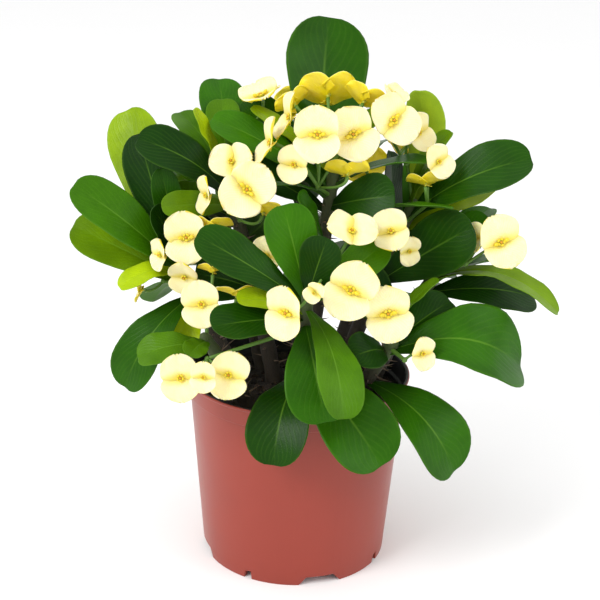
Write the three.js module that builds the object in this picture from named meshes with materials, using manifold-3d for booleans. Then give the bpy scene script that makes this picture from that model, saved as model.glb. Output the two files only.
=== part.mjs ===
// A crown of thorns (Euphorbia milii) in a 12 cm plastic nursery pot.
// Millimetres, +Z up. The origin is the middle of the pot's foot, on the floor; the front is -Y.
import * as THREE from "three";
import { mergeVertices } from "three/addons/utils/BufferGeometryUtils.js";
import Module from "manifold-3d";

const wasm = await Module();
wasm.setup();

// ---------- driving dimensions ----------

const GAP = 0.3; // clearance between pieces that touch
const SLIVER = 0.2; // edges that a join leaves shorter than this are closed up

const LIP_RADIUS = 60; // pot
const LIP_HEIGHT = 1.2;
const LIP_STEP = 0.6; // how far the lip stands out from the rim band
const POT_HEIGHT = 102.6;
const RIM_BAND_HEIGHT = 10.3;
const RIM_BAND_RADIUS = 58.6;
const NECK_RADIUS = 57.3;
const FOOT_RADIUS = 50;
const FOOT_RING_WIDTH = 2.4;
const WALL = 1.3;
const FLOOR_LIFT = 4.6;
const FLOOR_PAD_RADIUS = 12;
const POT_ROUNDING = 0.4; // at the rim band's lower edge and the foot ring's inner one
const POT_SEGMENTS = 32;
const NOTCH_HEIGHT = FLOOR_LIFT;
const WIDE_NOTCH = { width: 23, slant: 4, angles: [17, 107, 197, 287] };
const NARROW_NOTCH = { width: 4.5, slant: 0.6, angles: [-28, 62, 152, 242] };

const SOIL_TOP = 89;
const SOIL_RISE = 2.5;
const SOIL_EYE = 0.06; // share of the soil's radius inside its first ring
const CRUMB = { height: 0.7, along: 5, across: 6 };
const SOIL_SECTORS = 16;
const SOIL_RINGS = 3;

const STEM_FOOT_RADIUS = 5; // thorny stems
const STEM_TIP_RADIUS = 3.3;
const STEM_SIDES = 6;
const STEM_RINGS = 5;
const STEM_DEPTH = 24; // how far a stem stands in the soil
const STEM_BEND = { level: 0.35, height: 0.5 };
const STEM_SAMPLES = 40;
const THORN = { length: 8, radius: 1, sunk: 1.2, lean: 0.25, last: 0.9, count: 8 };

const LEAF_THICKNESS = 0.7;
const PETIOLE_WIDTH = 3.4;
const LEAF_STATIONS = [0, 0.3, 0.6, 0.88, 1];
const LEAF_END_WIDTH = 0.45; // of the full width, where the rounded end is cut square
const SPOON = { rise: 1.25, fall: 0.42 }; // powers of a leaf's widening and rounding off
const FOLD = { narrowing: 0.25, power: 1.6 };
const BLADE_CLEARANCE = 1.1;
const GOLDEN_SHARE = 0.618;

const BRACT = {
  length: 14.5, width: 22.5, thickness: 0.65, cup: 24, recurve: 0.14, dish: 0.12, bulge: 0.8,
};
const BRACT_STATIONS = [0.27, 0.7, 1];
const BRACT_END_WIDTH = 0.52;
const BRACT_CHECKS = [0.03, 0.27, 0.55, 0.84, 1];
const CUP = { width: 4.4, above: 2.6, below: 1.4 };
const STALK_RADIUS = 0.95;
const STALK_SIDES = 3;
const STALK_STEPS = 2;
const STALK_APPROACH = 0.4; // share of a stalk that comes straight up behind its bloom
const FORK_KNOT = 1.9; // of a stalk's radius

// ---------- the plant's habit ----------
// Each shoot leaves the soil at `root` and ends at `tip`. `fill` places the leaves of its hidden
// side by rule: how many, round which compass angle (0 = +X, 90 = the back) and how far to each side.

const FILL = {
  rise: [60, -20], riseDraw: 12, length: [46, 68], lengthDraw: 0.2, grown: 4, first: 0.97, spacing: 0.045,
  width: 0.42, arch: 0.11, rollDraw: 24, fold: 0.2,
};

const SHOOTS = {
  leader: { root: [4, 2], tip: [16, 4, 212], fill: { count: 5, heading: 100, spread: 80 } },
  crown_left: { root: [-8, 9], tip: [-40, 10, 206], fill: { count: 5, heading: 125, spread: 55 } },
  crown_right: { root: [16, 8], tip: [58, 10, 192], fill: { count: 5, heading: 55, spread: 55 } },
  left: { root: [-22, -2], tip: [-62, -6, 160], fill: { count: 3, heading: 140, spread: 35 } },
  right: { root: [28, -2], tip: [72, -4, 162], fill: { count: 4, heading: 25, spread: 40 } },
  front: { root: [1, -15], tip: [4, -42, 158], fill: { count: 1, heading: 225, spread: 30 } },
  low_left: { root: [-16, -18], tip: [-46, -40, 134], fill: { count: 1, heading: 150, spread: 25 } },
  low_right: { root: [19, -18], tip: [47, -40, 134], fill: { count: 2, heading: 30, spread: 25 } },
  back_left: { root: [-14, 26], tip: [-46, 46, 178], fill: { count: 8, heading: 130, spread: 80 } },
  back_right: { root: [16, 27], tip: [46, 48, 182], fill: { count: 10, heading: 50, spread: 80 } },
  back: { root: [1, 20], tip: [0, 46, 200], fill: { count: 8, heading: 90, spread: 62 } },
};

// Leaves of the visible side: where on its shoot each starts (0 = foot, 1 = tip), where it ends, its
// full width, how far it arches and how far it is rolled about its length.

const LEAVES = {
  leader: [
    { at: 0.95, tip: [12, 44, 283], width: 50, arch: -9, roll: 20 },
    { at: 0.93, tip: [-47, 12, 234], width: 21, arch: 5, roll: -40 },
    { at: 0.88, tip: [-30, 34, 241], width: 22, arch: 6, roll: -45 },
    { at: 0.97, tip: [-27, 14, 240], width: 12, arch: 3, roll: -20 },
    { at: 0.84, tip: [-41, 28, 207], width: 22, arch: 4, roll: -35 },
    { at: 0.93, tip: [64, -6, 218], width: 22, arch: 5, roll: 0 },
    { at: 0.86, tip: [42, -18, 208], width: 26, arch: 4, roll: 70 },
    { at: 0.89, tip: [-11, -22, 208], width: 10, arch: 3, roll: 0 },
    { at: 0.8, tip: [69, -26, 207], width: 14, arch: 5, roll: -10 },
    { at: 0.7, tip: [-2, -24, 203], width: 19, arch: 3, roll: -65 },
  ],
  crown_left: [
    { at: 0.9, tip: [-83, -4, 226], width: 26, arch: 9, roll: -50 },
    { at: 0.88, tip: [-66, -26, 196], width: 16, arch: 4, roll: -60 },
    { at: 0.95, tip: [-46, 50, 248], width: 26, arch: 6, roll: 0 },
    { at: 0.98, tip: [-55, 4, 240], width: 13, arch: 1, roll: -30 },
    { at: 0.55, tip: [-58, -2, 158], width: 28, arch: 4, roll: -60 },
  ],
  left: [
    { at: 0.97, tip: [-94, 34, 233], width: 32, arch: 2, roll: -50 },
    { at: 0.95, tip: [-84, 10, 226], width: 27, arch: 3, roll: -75 },
    { at: 0.98, tip: [-71, -6, 212], width: 16, arch: 2, roll: -75 },
    { at: 0.99, tip: [-76, -21, 193], width: 18, arch: 2, roll: -75 },
    { at: 0.93, tip: [-114, -14, 204], width: 27, arch: 6, roll: -50 },
    { at: 0.9, tip: [-117, -4, 180], width: 26, arch: 3, roll: -55 },
    { at: 0.93, tip: [-90, -28, 155], width: 15, arch: 9, roll: -20 },
    { at: 0.84, tip: [-88, -32, 103], width: 27, arch: 14, roll: -30 },
    { at: 0.8, tip: [-66, -20, 118], width: 24, arch: 5, roll: -40 },
  ],
  low_left: [
    { at: 0.92, tip: [-79, -46, 125], width: 20, arch: 6, roll: -30 },
    { at: 0.97, tip: [-55, -54, 133], width: 13, arch: 3, roll: -20 },
  ],
  front: [
    { at: 0.95, tip: [-50, -46, 189], width: 24, arch: 3, roll: -50 },
    { at: 0.88, tip: [-31, -50, 159], width: 17, arch: 4, roll: -20 },
    { at: 0.96, tip: [-9, -34, 202], width: 27, arch: 2, roll: -50 },
    { at: 0.98, tip: [15, -50, 189], width: 22, arch: 2, roll: 110 },
    { at: 0.95, tip: [42, -27, 182], width: 20, arch: 4, roll: 60 },
    { at: 0.86, tip: [-41, -66, 150], width: 24, arch: 2, roll: -30 },
    { at: 0.92, tip: [22, -86, 113], width: 26, arch: 9, roll: -10 },
    { at: 0.82, tip: [14, -77, 107], width: 34, arch: 11, roll: 15 },
    { at: 0.45, tip: [-10, -70, 77], width: 33, arch: 14, roll: 0 },
    { at: 0.5, tip: [42, -72, 82], width: 39, arch: 12, roll: 26 },
  ],
  low_right: [
    { at: 0.97, tip: [76, -26, 152], width: 22, arch: 4, roll: 40 },
    { at: 0.9, tip: [112, -46, 121], width: 46, arch: 20, roll: 36 },
    { at: 0.9, tip: [26, -60, 134], width: 22, arch: 5, roll: -40 },
    { at: 0.64, tip: [80, -54, 71], width: 37, arch: 14, roll: 25 },
  ],
  crown_right: [
    { at: 0.96, tip: [59, 25, 249], width: 26, arch: 8, roll: 150 },
    { at: 0.93, tip: [112, -14, 222], width: 32, arch: 9, roll: 45 },
    { at: 0.88, tip: [102, 12, 206], width: 24, arch: 0, roll: 20 },
    { at: 0.66, tip: [77, -20, 196], width: 33, arch: 3, roll: 80 },
    { at: 0.7, tip: [46, 30, 216], width: 26, arch: 3, roll: 70 },
  ],
  right: [
    { at: 0.97, tip: [97, 2, 188], width: 20, arch: 4, roll: 45 },
    { at: 0.93, tip: [131, -24, 146], width: 20, arch: 14, roll: 10 },
    { at: 0.85, tip: [125, 8, 143], width: 28, arch: 8, roll: 40 },
    { at: 0.62, tip: [26, -6, 160], width: 28, arch: 4, roll: -70 },
  ],
  back_left: [
    { at: 0.8, tip: [-17, 6, 184], width: 34, arch: 4, roll: -70 },
    { at: 0.75, tip: [-68, 17, 172], width: 32, arch: 4, roll: -60 },
    { at: 0.55, tip: [-45, 18, 166], width: 28, arch: 4, roll: -60 },
  ],
  back_right: [
    { at: 0.8, tip: [30, 8, 180], width: 32, arch: 4, roll: 70 },
    { at: 0.7, tip: [72, 18, 172], width: 34, arch: 4, roll: 60 },
    { at: 0.5, tip: [26, 12, 152], width: 28, arch: 4, roll: 50 },
  ],
};

// Flower stalks: each leaves its shoot at `at` and forks to its blooms. A bloom has its place, the
// way it faces, the turn of its bracts about that way, and its size.

const SPRAYS = [
  { shoot: "leader", at: 0.9, fork: [8, -10, 205], blooms: [
    { place: [7, -22, 234], faces: [-0.15, -1, 0.25], turn: 5, size: 1 },
    { place: [24, -15, 233], faces: [0.1, -1, 0.3], turn: 25, size: 1 },
    { place: [-4, -21, 219], faces: [-0.3, -0.9, 0.1], turn: 0, size: 0.7 },
    { place: [22, -17, 214], faces: [0, 0.6, 0.8], turn: 90, size: 0.8 },
    { place: [-15, -16, 228], faces: [-1, -0.2, 0.35], turn: 0, size: 0.9 },
    { place: [-6, -7, 239], faces: [-1, -0.2, 0.35], turn: 0, size: 0.9 },
  ] },
  { shoot: "leader", at: 1, fork: [14, 1, 232], blooms: [
    { place: [12, 13, 247], faces: [0, 0.75, 0.65], turn: 90, size: 1.1 },
    { place: [-5, 10, 243], faces: [-0.5, 0.6, 0.6], turn: 60, size: 0.7 },
    { place: [30, 5, 246], faces: [0.4, 0.6, 0.7], turn: 120, size: 0.85 },
  ] },
  { shoot: "crown_left", at: 0.85, fork: [-31, -10, 187], blooms: [
    { place: [-27, -26, 207], faces: [0.1, -1, 0.2], turn: -45, size: 1.05 },
    { place: [-35, -12, 217], faces: [-0.2, -0.75, 0.6], turn: 100, size: 0.8 },
    { place: [-19, -21, 194], faces: [0.2, 0.5, 0.8], turn: 90, size: 0.75 },
    { place: [-46, -20, 202], faces: [-0.9, -0.4, 0.1], turn: 0, size: 0.7 },
  ] },
  { shoot: "crown_left", at: 1, fork: [-30, 12, 228], blooms: [
    { place: [-22, 20, 244], faces: [-0.3, -0.2, 0.9], turn: 70, size: 0.95 },
  ] },
  { shoot: "crown_right", at: 1, fork: [54, 14, 212], blooms: [
    { place: [44, -4, 238], faces: [0.3, -0.85, 0.4], turn: 45, size: 1 },
    { place: [57, 3, 231], faces: [0.6, -0.7, 0.3], turn: 20, size: 0.75 },
    { place: [45, 10, 248], faces: [0.5, -0.3, 0.8], turn: 90, size: 0.6 },
  ] },
  { shoot: "crown_right", at: 0.92, fork: [64, -4, 196], blooms: [
    { place: [67, -8, 219], faces: [0.4, -0.85, 0.3], turn: 30, size: 0.65 },
    { place: [62, -6, 207], faces: [0, 0.5, 0.8], turn: 70, size: 0.7 },
  ] },
  { shoot: "crown_right", at: 0.8, fork: [52, -14, 190], blooms: [
    { place: [44, -32, 189], faces: [-0.2, -0.8, 0.6], turn: 20, size: 0.8 },
    { place: [53, -26, 178], faces: [0.5, -0.8, 0], turn: 0, size: 0.55 },
  ] },
  { shoot: "left", at: 0.97, fork: [-60, -12, 170], blooms: [
    { place: [-56, -26, 182], faces: [-0.2, -1, 0.2], turn: 10, size: 0.95 },
    { place: [-44, -24, 186], faces: [0, 0.5, 0.8], turn: 90, size: 0.75 },
    { place: [-69, -24, 172], faces: [-0.8, -0.6, 0.1], turn: 0, size: 0.6 },
    { place: [-57, -29, 163], faces: [-0.2, -0.9, -0.3], turn: 0, size: 0.7 },
  ] },
  { shoot: "left", at: 0.9, fork: [-70, -12, 154], blooms: [
    { place: [-80, -18, 151], faces: [-1, 0, 0.2], turn: 0, size: 0.5 },
  ] },
  { shoot: "low_left", at: 0.98, fork: [-46, -36, 146], blooms: [
    { place: [-47, -48, 155], faces: [-0.1, -1, 0.3], turn: 10, size: 0.85 },
    { place: [-31, -37, 156], faces: [0, 0.4, 0.9], turn: 90, size: 0.75 },
    { place: [-43, -31, 166], faces: [0, 0.5, 0.8], turn: 90, size: 0.55 },
  ] },
  { shoot: "front", at: 0.8, fork: [-44, -54, 129], blooms: [
    { place: [-56, -62, 122], faces: [-0.1, -1, 0.3], turn: 10, size: 0.85 },
    { place: [-44, -74, 128], faces: [-0.1, -1, 0.2], turn: 0, size: 0.55 },
    { place: [-33, -66, 126], faces: [0.1, -1, 0.25], turn: -15, size: 0.85 },
  ] },
  { shoot: "front", at: 1, fork: [8, -50, 166], blooms: [
    { place: [-5, -68, 159], faces: [-0.64, -0.77, 0.1], turn: 0, size: 0.95 },
    { place: [24, -62, 169], faces: [0, -1, 0.2], turn: -25, size: 1.05 },
    { place: [7, -72, 171], faces: [-0.2, -1, 0], turn: 140, size: 0.4 },
    { place: [42, -60, 157], faces: [0.1, -1, 0.2], turn: 10, size: 1 },
    { place: [24, -42, 191], faces: [0.2, -0.55, 0.85], turn: 75, size: 0.9 },
  ] },
  { shoot: "leader", at: 0.72, fork: [-4, -14, 172], blooms: [
    { place: [-16, -31, 175], faces: [-0.4, -0.85, 0.3], turn: 0, size: 0.7 },
  ] },
  { shoot: "low_right", at: 0.96, fork: [52, -54, 131], blooms: [
    { place: [59, -60, 137], faces: [0.5, -0.8, 0.2], turn: 0, size: 0.6 },
  ] },
  { shoot: "right", at: 0.98, fork: [84, -14, 168], blooms: [
    { place: [99, -22, 182], faces: [0.2, -0.9, 0.4], turn: 20, size: 1 },
    { place: [88, -13, 181], faces: [-0.6, -0.6, 0.5], turn: 30, size: 0.6 },
  ] },
  { shoot: "back_left", at: 0.98, fork: [-48, 52, 192], blooms: [
    { place: [-56, 58, 206], faces: [-0.4, 0.7, 0.6], turn: 30, size: 1 },
    { place: [-36, 68, 195], faces: [0.1, 0.9, 0.4], turn: 80, size: 1 },
  ] },
  { shoot: "back_right", at: 0.98, fork: [48, 54, 196], blooms: [
    { place: [56, 60, 211], faces: [0.4, 0.7, 0.6], turn: 20, size: 1 },
    { place: [36, 70, 196], faces: [-0.1, 0.9, 0.4], turn: 70, size: 1 },
  ] },
  { shoot: "back", at: 0.98, fork: [1, 52, 216], blooms: [
    { place: [-10, 60, 230], faces: [-0.3, 0.8, 0.6], turn: 40, size: 1 },
    { place: [14, 62, 221], faces: [0.3, 0.9, 0.3], turn: 110, size: 1 },
  ] },
];

// Small turns of a leaf about its foot, tried in order until the blade clears its neighbours.
const NUDGES = [
  [0, 0], [5, 0], [-5, 0], [0, 5], [0, -5], [10, 0], [-10, 0], [8, 8], [-8, 8], [8, -8], [-8, -8],
  [0, 11], [0, -11], [15, 0], [-15, 0], [14, 12], [-14, 12], [14, -12], [-14, -12],
];
const WIDE_NUDGES = [...NUDGES, [22, 0], [-22, 0], [22, 14], [-22, 14], [22, -14], [-22, -14],
  [30, 0], [-30, 0], [0, 20], [0, -20], [30, 18], [-30, 18], [40, 0], [-40, 0]];

// ---------- materials ----------

const plain = (color, roughness) => new THREE.MeshStandardMaterial({ color, roughness, metalness: 0 });
const TERRACOTTA = () => plain(0xa84e42, 0.42);
const PEAT = () => plain(0x1d1712, 0.95);
const FOLIAGE = () => plain(0x2f6418, 0.45);
const CREAM = () => plain(0xfaf0b4, 0.55);

// ---------- geometry helpers ----------

const vector = (values) => new THREE.Vector3(...values);
const radians = THREE.MathUtils.degToRad;
const mix = THREE.MathUtils.lerp;
const share = (value) => value - Math.floor(value);

function solid(geometry) {
  const bare = geometry.clone();
  bare.deleteAttribute("normal");
  bare.deleteAttribute("uv");
  const merged = mergeVertices(bare, 1e-4);
  return new wasm.Manifold(new wasm.Mesh({
    numProp: 3,
    vertProperties: Float32Array.from(merged.attributes.position.array),
    triVerts: Uint32Array.from(merged.index.array),
  }));
}

function surface(body) {
  const mesh = body.getMesh();
  const geometry = new THREE.BufferGeometry();
  geometry.setAttribute("position", new THREE.BufferAttribute(Float32Array.from(mesh.vertProperties), 3));
  geometry.setIndex(Array.from(mesh.triVerts));
  return geometry;
}

// A closed skin over rings of points, each ring listed anticlockwise as seen from the far end. The
// second half of each ring is split the other way round, so a blade's two faces split alike.
function loft(rings) {
  const sides = rings[0].length;
  const positions = rings.flat().flatMap((point) => [point.x, point.y, point.z]);
  const faces = [];
  for (let ring = 0; ring < rings.length - 1; ring += 1) {
    for (let side = 0; side < sides; side += 1) {
      const a = ring * sides + side;
      const b = ring * sides + ((side + 1) % sides);
      if (side < sides / 2) faces.push(a, b, b + sides, a, b + sides, a + sides);
      else faces.push(a, b, a + sides, b, b + sides, a + sides);
    }
  }
  const last = (rings.length - 1) * sides;
  for (let side = 0; side < sides - 2 - side; side += 1) {
    const mirror = sides - 2 - side;
    faces.push(side, mirror + 1, mirror, last + side, last + mirror, last + mirror + 1);
    if (side + 1 === mirror) continue;
    faces.push(side, mirror, side + 1, last + side, last + side + 1, last + mirror);
  }
  const geometry = new THREE.BufferGeometry();
  geometry.setAttribute("position", new THREE.BufferAttribute(Float32Array.from(positions), 3));
  geometry.setIndex(faces);
  return geometry;
}

// ---------- the pot and its soil ----------

function potProfile() {
  const ridge = POT_HEIGHT - RIM_BAND_HEIGHT;
  const footInside = FOOT_RADIUS - FOOT_RING_WIDTH;
  const outline = [
    [0, 0], [FLOOR_PAD_RADIUS, 0], [FLOOR_PAD_RADIUS + POT_ROUNDING, FLOOR_LIFT],
    [footInside - POT_ROUNDING, FLOOR_LIFT], [footInside, 0],
    [FOOT_RADIUS, 0], [NECK_RADIUS, ridge], [RIM_BAND_RADIUS, ridge + POT_ROUNDING],
    [LIP_RADIUS - LIP_STEP, POT_HEIGHT - LIP_HEIGHT - POT_ROUNDING],
    [LIP_RADIUS, POT_HEIGHT - LIP_HEIGHT], [LIP_RADIUS, POT_HEIGHT],
    [LIP_RADIUS - LIP_STEP - WALL, POT_HEIGHT], [RIM_BAND_RADIUS - WALL, ridge + POT_ROUNDING],
    [NECK_RADIUS - WALL, ridge - WALL / 2], [innerRadius(FLOOR_LIFT + WALL), FLOOR_LIFT + WALL],
    [0, FLOOR_LIFT + WALL],
  ];
  return outline.map(([radius, height]) => new THREE.Vector2(radius, height));
}

function outerRadius(height) {
  return mix(FOOT_RADIUS, NECK_RADIUS, height / (POT_HEIGHT - RIM_BAND_HEIGHT));
}

function innerRadius(height) {
  return outerRadius(height) - WALL;
}

// A notch in the foot ring, wider at the floor than at its top.
function notchCutter({ width, slant }, angle) {
  const half = width / 2;
  const outline = new THREE.Shape([
    new THREE.Vector2(-half, -1), new THREE.Vector2(half, -1),
    new THREE.Vector2(half - slant, NOTCH_HEIGHT), new THREE.Vector2(slant - half, NOTCH_HEIGHT),
  ]);
  const cutter = new THREE.ExtrudeGeometry(outline, { depth: 2 * FOOT_RING_WIDTH, bevelEnabled: false });
  cutter.rotateX(Math.PI / 2);
  cutter.translate(0, 1.5 * FOOT_RING_WIDTH - FOOT_RADIUS, 0);
  cutter.rotateZ(radians(angle));
  return solid(cutter);
}

function pot() {
  const shell = new THREE.LatheGeometry(potProfile(), POT_SEGMENTS);
  shell.rotateX(Math.PI / 2);
  const cutters = [WIDE_NOTCH, NARROW_NOTCH].flatMap(
    (notch) => notch.angles.map((angle) => notchCutter(notch, angle)),
  );
  return solid(shell).subtract(wasm.Manifold.union(cutters));
}

// The heaped, crumbly top of the potting mix, as a height at each point.
function soilHeight(x, y) {
  const radius = Math.hypot(x, y) / LIP_RADIUS;
  const crumbs = Math.sin(x / CRUMB.along) * Math.cos(y / CRUMB.across);
  return SOIL_TOP + SOIL_RISE * (1 - radius ** 2) + CRUMB.height * crumbs;
}

function soil() {
  const bottom = FLOOR_LIFT + WALL + GAP;
  const rings = [soilRing(innerRadius(bottom) - GAP, () => bottom)];
  for (let ring = SOIL_RINGS; ring >= 0; ring -= 1) {
    rings.push(soilRing((innerRadius(SOIL_TOP) - GAP) * mix(SOIL_EYE, 1, ring / SOIL_RINGS), soilHeight));
  }
  const holes = Object.values(SHOOTS).map((shoot) => stem(stemCurve(shoot), GAP));
  return solid(loft(rings)).subtract(wasm.Manifold.union(holes));
}

function soilRing(radius, height) {
  return Array.from({ length: SOIL_SECTORS }, (_, sector) => {
    const angle = (2 * Math.PI * sector) / SOIL_SECTORS;
    const x = radius * Math.cos(angle);
    const y = radius * Math.sin(angle);
    return new THREE.Vector3(x, y, height(x, y));
  });
}

// ---------- shoots: stem and thorns ----------

function stemCurve({ root, tip }) {
  const foot = new THREE.Vector3(root[0], root[1], SOIL_TOP - STEM_DEPTH);
  const end = vector(tip);
  const bend = new THREE.Vector3(
    mix(foot.x, end.x, STEM_BEND.level), mix(foot.y, end.y, STEM_BEND.level),
    mix(foot.z, end.z, STEM_BEND.height),
  );
  return new THREE.QuadraticBezierCurve3(foot, bend, end);
}

const stemRadius = (at) => mix(STEM_FOOT_RADIUS, STEM_TIP_RADIUS, at);

function crossRing(centre, along, radius, sides) {
  const across = new THREE.Vector3(0, 1, 0).cross(along).normalize();
  const up = along.clone().cross(across);
  return Array.from({ length: sides }, (_, side) => {
    const angle = (2 * Math.PI * side) / sides;
    return centre.clone()
      .addScaledVector(across, radius * Math.cos(angle))
      .addScaledVector(up, radius * Math.sin(angle));
  });
}

function stem(curve, extra) {
  const rings = [];
  for (let ring = 0; ring <= STEM_RINGS; ring += 1) {
    const at = ring / STEM_RINGS;
    const centre = curve.getPoint(at).addScaledVector(curve.getTangent(at), ring === 0 ? -extra : 0);
    rings.push(crossRing(centre, curve.getTangent(at), stemRadius(at) + extra, STEM_SIDES));
  }
  const end = curve.getPoint(1).addScaledVector(curve.getTangent(1), STEM_TIP_RADIUS);
  rings.push(crossRing(end, curve.getTangent(1), (STEM_TIP_RADIUS + extra) / 2, STEM_SIDES));
  return solid(loft(rings));
}

function thorns(curve) {
  const height = SOIL_TOP + THORN.length;
  const bare = curve.getPoints(STEM_SAMPLES).findIndex(({ z }) => z > height) / STEM_SAMPLES;
  return Array.from({ length: THORN.count }, (_, index) => {
    const at = mix(bare, THORN.last, index / (THORN.count - 1));
    const angle = 2 * Math.PI * share(index * GOLDEN_SHARE);
    const along = curve.getTangent(at);
    const across = new THREE.Vector3(0, 1, 0).cross(along).normalize();
    const outward = across.applyAxisAngle(along, angle).addScaledVector(along, THORN.lean).normalize();
    const cone = new THREE.ConeGeometry(THORN.radius, THORN.length, 3);
    cone.applyQuaternion(new THREE.Quaternion().setFromUnitVectors(new THREE.Vector3(0, 1, 0), outward));
    const reach = stemRadius(at) + THORN.length / 2 - THORN.sunk;
    const middle = curve.getPoint(at).addScaledVector(outward, reach);
    cone.translate(middle.x, middle.y, middle.z);
    return solid(cone);
  });
}

// ---------- leaves ----------

// The share of its full width that a leaf has at `t` along it: a spoon shape with a rounded end.
const rawSpoon = (t) => t ** SPOON.rise * (1 - t) ** SPOON.fall;
const spoon = (t) => rawSpoon(t) / rawSpoon(SPOON.rise / (SPOON.rise + SPOON.fall));

// A leaf's bent middle line and the two directions across it.
function leafFrame({ foot, tip, arch, roll }) {
  const along = tip.clone().sub(foot).normalize();
  const face = new THREE.Vector3(0, 0, 1).addScaledVector(along, -along.z).normalize();
  face.applyAxisAngle(along, radians(roll));
  const side = along.clone().cross(face);
  const bend = foot.clone().add(tip).multiplyScalar(0.5).addScaledVector(face, 2 * arch);
  return { line: new THREE.QuadraticBezierCurve3(foot, bend, tip), side };
}

function leafPoint(leaf, frame, t, across, width) {
  const face = frame.side.clone().cross(frame.line.getTangent(t));
  const half = width / 2;
  return {
    face,
    point: frame.line.getPoint(t)
      .addScaledVector(frame.side, across * half * (1 - FOLD.narrowing * leaf.fold))
      .addScaledVector(face, Math.abs(across) ** FOLD.power * half * leaf.fold),
  };
}

const leafWidth = (leaf, t) => leaf.width * spoon(t) + PETIOLE_WIDTH * (1 - t) ** 3;

function leafSolid(leaf) {
  const frame = leafFrame(leaf);
  const rings = LEAF_STATIONS.map((t) => {
    const width = t === 1 ? leaf.width * LEAF_END_WIDTH : leafWidth(leaf, t);
    const columns = [-1, 0, 1].map((across) => leafPoint(leaf, frame, t, across, width));
    const top = columns.map(({ point, face }) => point.clone().addScaledVector(face, LEAF_THICKNESS / 2));
    const under = columns.map(({ point, face }) => point.clone().addScaledVector(face, -LEAF_THICKNESS / 2));
    return [...top, ...under.reverse()];
  });
  return solid(loft(rings));
}

// ---------- blooms and their stalks ----------

// The share of its full width that a bract has at `t` along it.
const bractShape = (t) => 2 * Math.sqrt(t ** BRACT.bulge * (1 - t ** BRACT.bulge));

// The bloom's own directions: the way it faces and the way its first bract points.
function bloomFrame({ faces, turn }) {
  const facing = vector(faces).normalize();
  const upright = new THREE.Vector3(0, 0, 1).addScaledVector(facing, -facing.z).normalize();
  return { facing, first: upright.applyAxisAngle(facing, radians(turn)) };
}

// The middle and the two edges of a bract, row by row from its claw to its outer edge.
function bractRows(bloom, sign, stations) {
  const { facing, first } = bloomFrame(bloom);
  const out = first.multiplyScalar(sign);
  const tilt = radians(BRACT.cup);
  const along = out.clone().multiplyScalar(Math.cos(tilt)).addScaledVector(facing, Math.sin(tilt));
  const face = facing.clone().multiplyScalar(Math.cos(tilt)).addScaledVector(out, -Math.sin(tilt));
  const side = along.clone().cross(face);
  const length = BRACT.length * bloom.size;
  return stations.map((t) => {
    const width = BRACT.width * bloom.size * (t === 1 ? BRACT_END_WIDTH : bractShape(t));
    const middle = vector(bloom.place).addScaledVector(along, length * t)
      .addScaledVector(face, -BRACT.recurve * length * t * t);
    const points = [-1, 0, 1].map((across) => middle.clone()
      .addScaledVector(side, (across * width) / 2)
      .addScaledVector(face, Math.abs(across) * width * BRACT.dish));
    return { points, face };
  });
}

// One bloom as a single skin: the edge of one bract, the square-sided cup, the edge of the other.
function bloomSolid(bloom) {
  const { facing, first } = bloomFrame(bloom);
  const side = first.clone().cross(facing);
  const half = (CUP.width * bloom.size) / 2;
  const bladeRing = (sign) => ({ points: [left, , right], face }) => {
    const lift = face.clone().multiplyScalar(BRACT.thickness / 2);
    const ends = sign > 0 ? [left, right] : [right, left];
    return [
      ends[0].clone().sub(lift), ends[1].clone().sub(lift),
      ends[1].clone().add(lift), ends[0].clone().add(lift),
    ];
  };
  const cupRing = (sign) => [[-1, -CUP.below], [1, -CUP.below], [1, CUP.above], [-1, CUP.above]].map(
    ([across, height]) => vector(bloom.place).addScaledVector(first, sign * half)
      .addScaledVector(side, across * half).addScaledVector(facing, height),
  );
  return solid(loft([
    ...bractRows(bloom, 1, BRACT_STATIONS).reverse().map(bladeRing(1)),
    cupRing(1),
    cupRing(-1),
    ...bractRows(bloom, -1, BRACT_STATIONS).map(bladeRing(-1)),
  ]));
}

// The middle lines of a spray's stalks: one up to the fork, then one to the back of each bloom.
function stalkCurves(spray) {
  const start = stemCurve(SHOOTS[spray.shoot]).getPoint(spray.at);
  const fork = vector(spray.fork);
  const rise = fork.clone().sub(start).multiplyScalar(0.5);
  const main = new THREE.QuadraticBezierCurve3(start, start.clone().add(rise), fork);
  const branches = spray.blooms.map((bloom) => {
    const { facing } = bloomFrame(bloom);
    const end = vector(bloom.place).addScaledVector(facing, -CUP.below - GAP);
    const approach = end.clone().addScaledVector(facing, -STALK_APPROACH * end.distanceTo(fork));
    return new THREE.QuadraticBezierCurve3(fork, approach, end);
  });
  return [main, ...branches];
}

function stalk(curve) {
  const section = new THREE.Shape(Array.from({ length: STALK_SIDES }, (_, side) => {
    const angle = (2 * Math.PI * side) / STALK_SIDES;
    return new THREE.Vector2(STALK_RADIUS * Math.cos(angle), STALK_RADIUS * Math.sin(angle));
  }));
  const settings = { steps: STALK_STEPS, bevelEnabled: false, extrudePath: curve };
  return solid(new THREE.ExtrudeGeometry(section, settings));
}

function sprayStalks(spray) {
  const knot = new THREE.OctahedronGeometry(FORK_KNOT * STALK_RADIUS);
  knot.translate(...spray.fork);
  return [solid(knot), ...stalkCurves(spray).map(stalk)];
}

// ---------- keeping blades clear of one another ----------

const CHECK_ROWS = [0.12, 0.27, 0.42, 0.57, 0.72, 0.87, 1];
const OWN_SHOOT_ROW = 2; // blades of one shoot meet at their feet, so they are compared from here on
const EDGE_MARGIN = 0.06;
const STEM_CLEARANCE = 1.5;
const STEM_CHECKS = 12;
const STALK_CLEARANCE = 0.8;
const STALK_CHECKS = 5;
const POT_CLEARANCE = 1;
const SOIL_CLEARANCE = 5;

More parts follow.
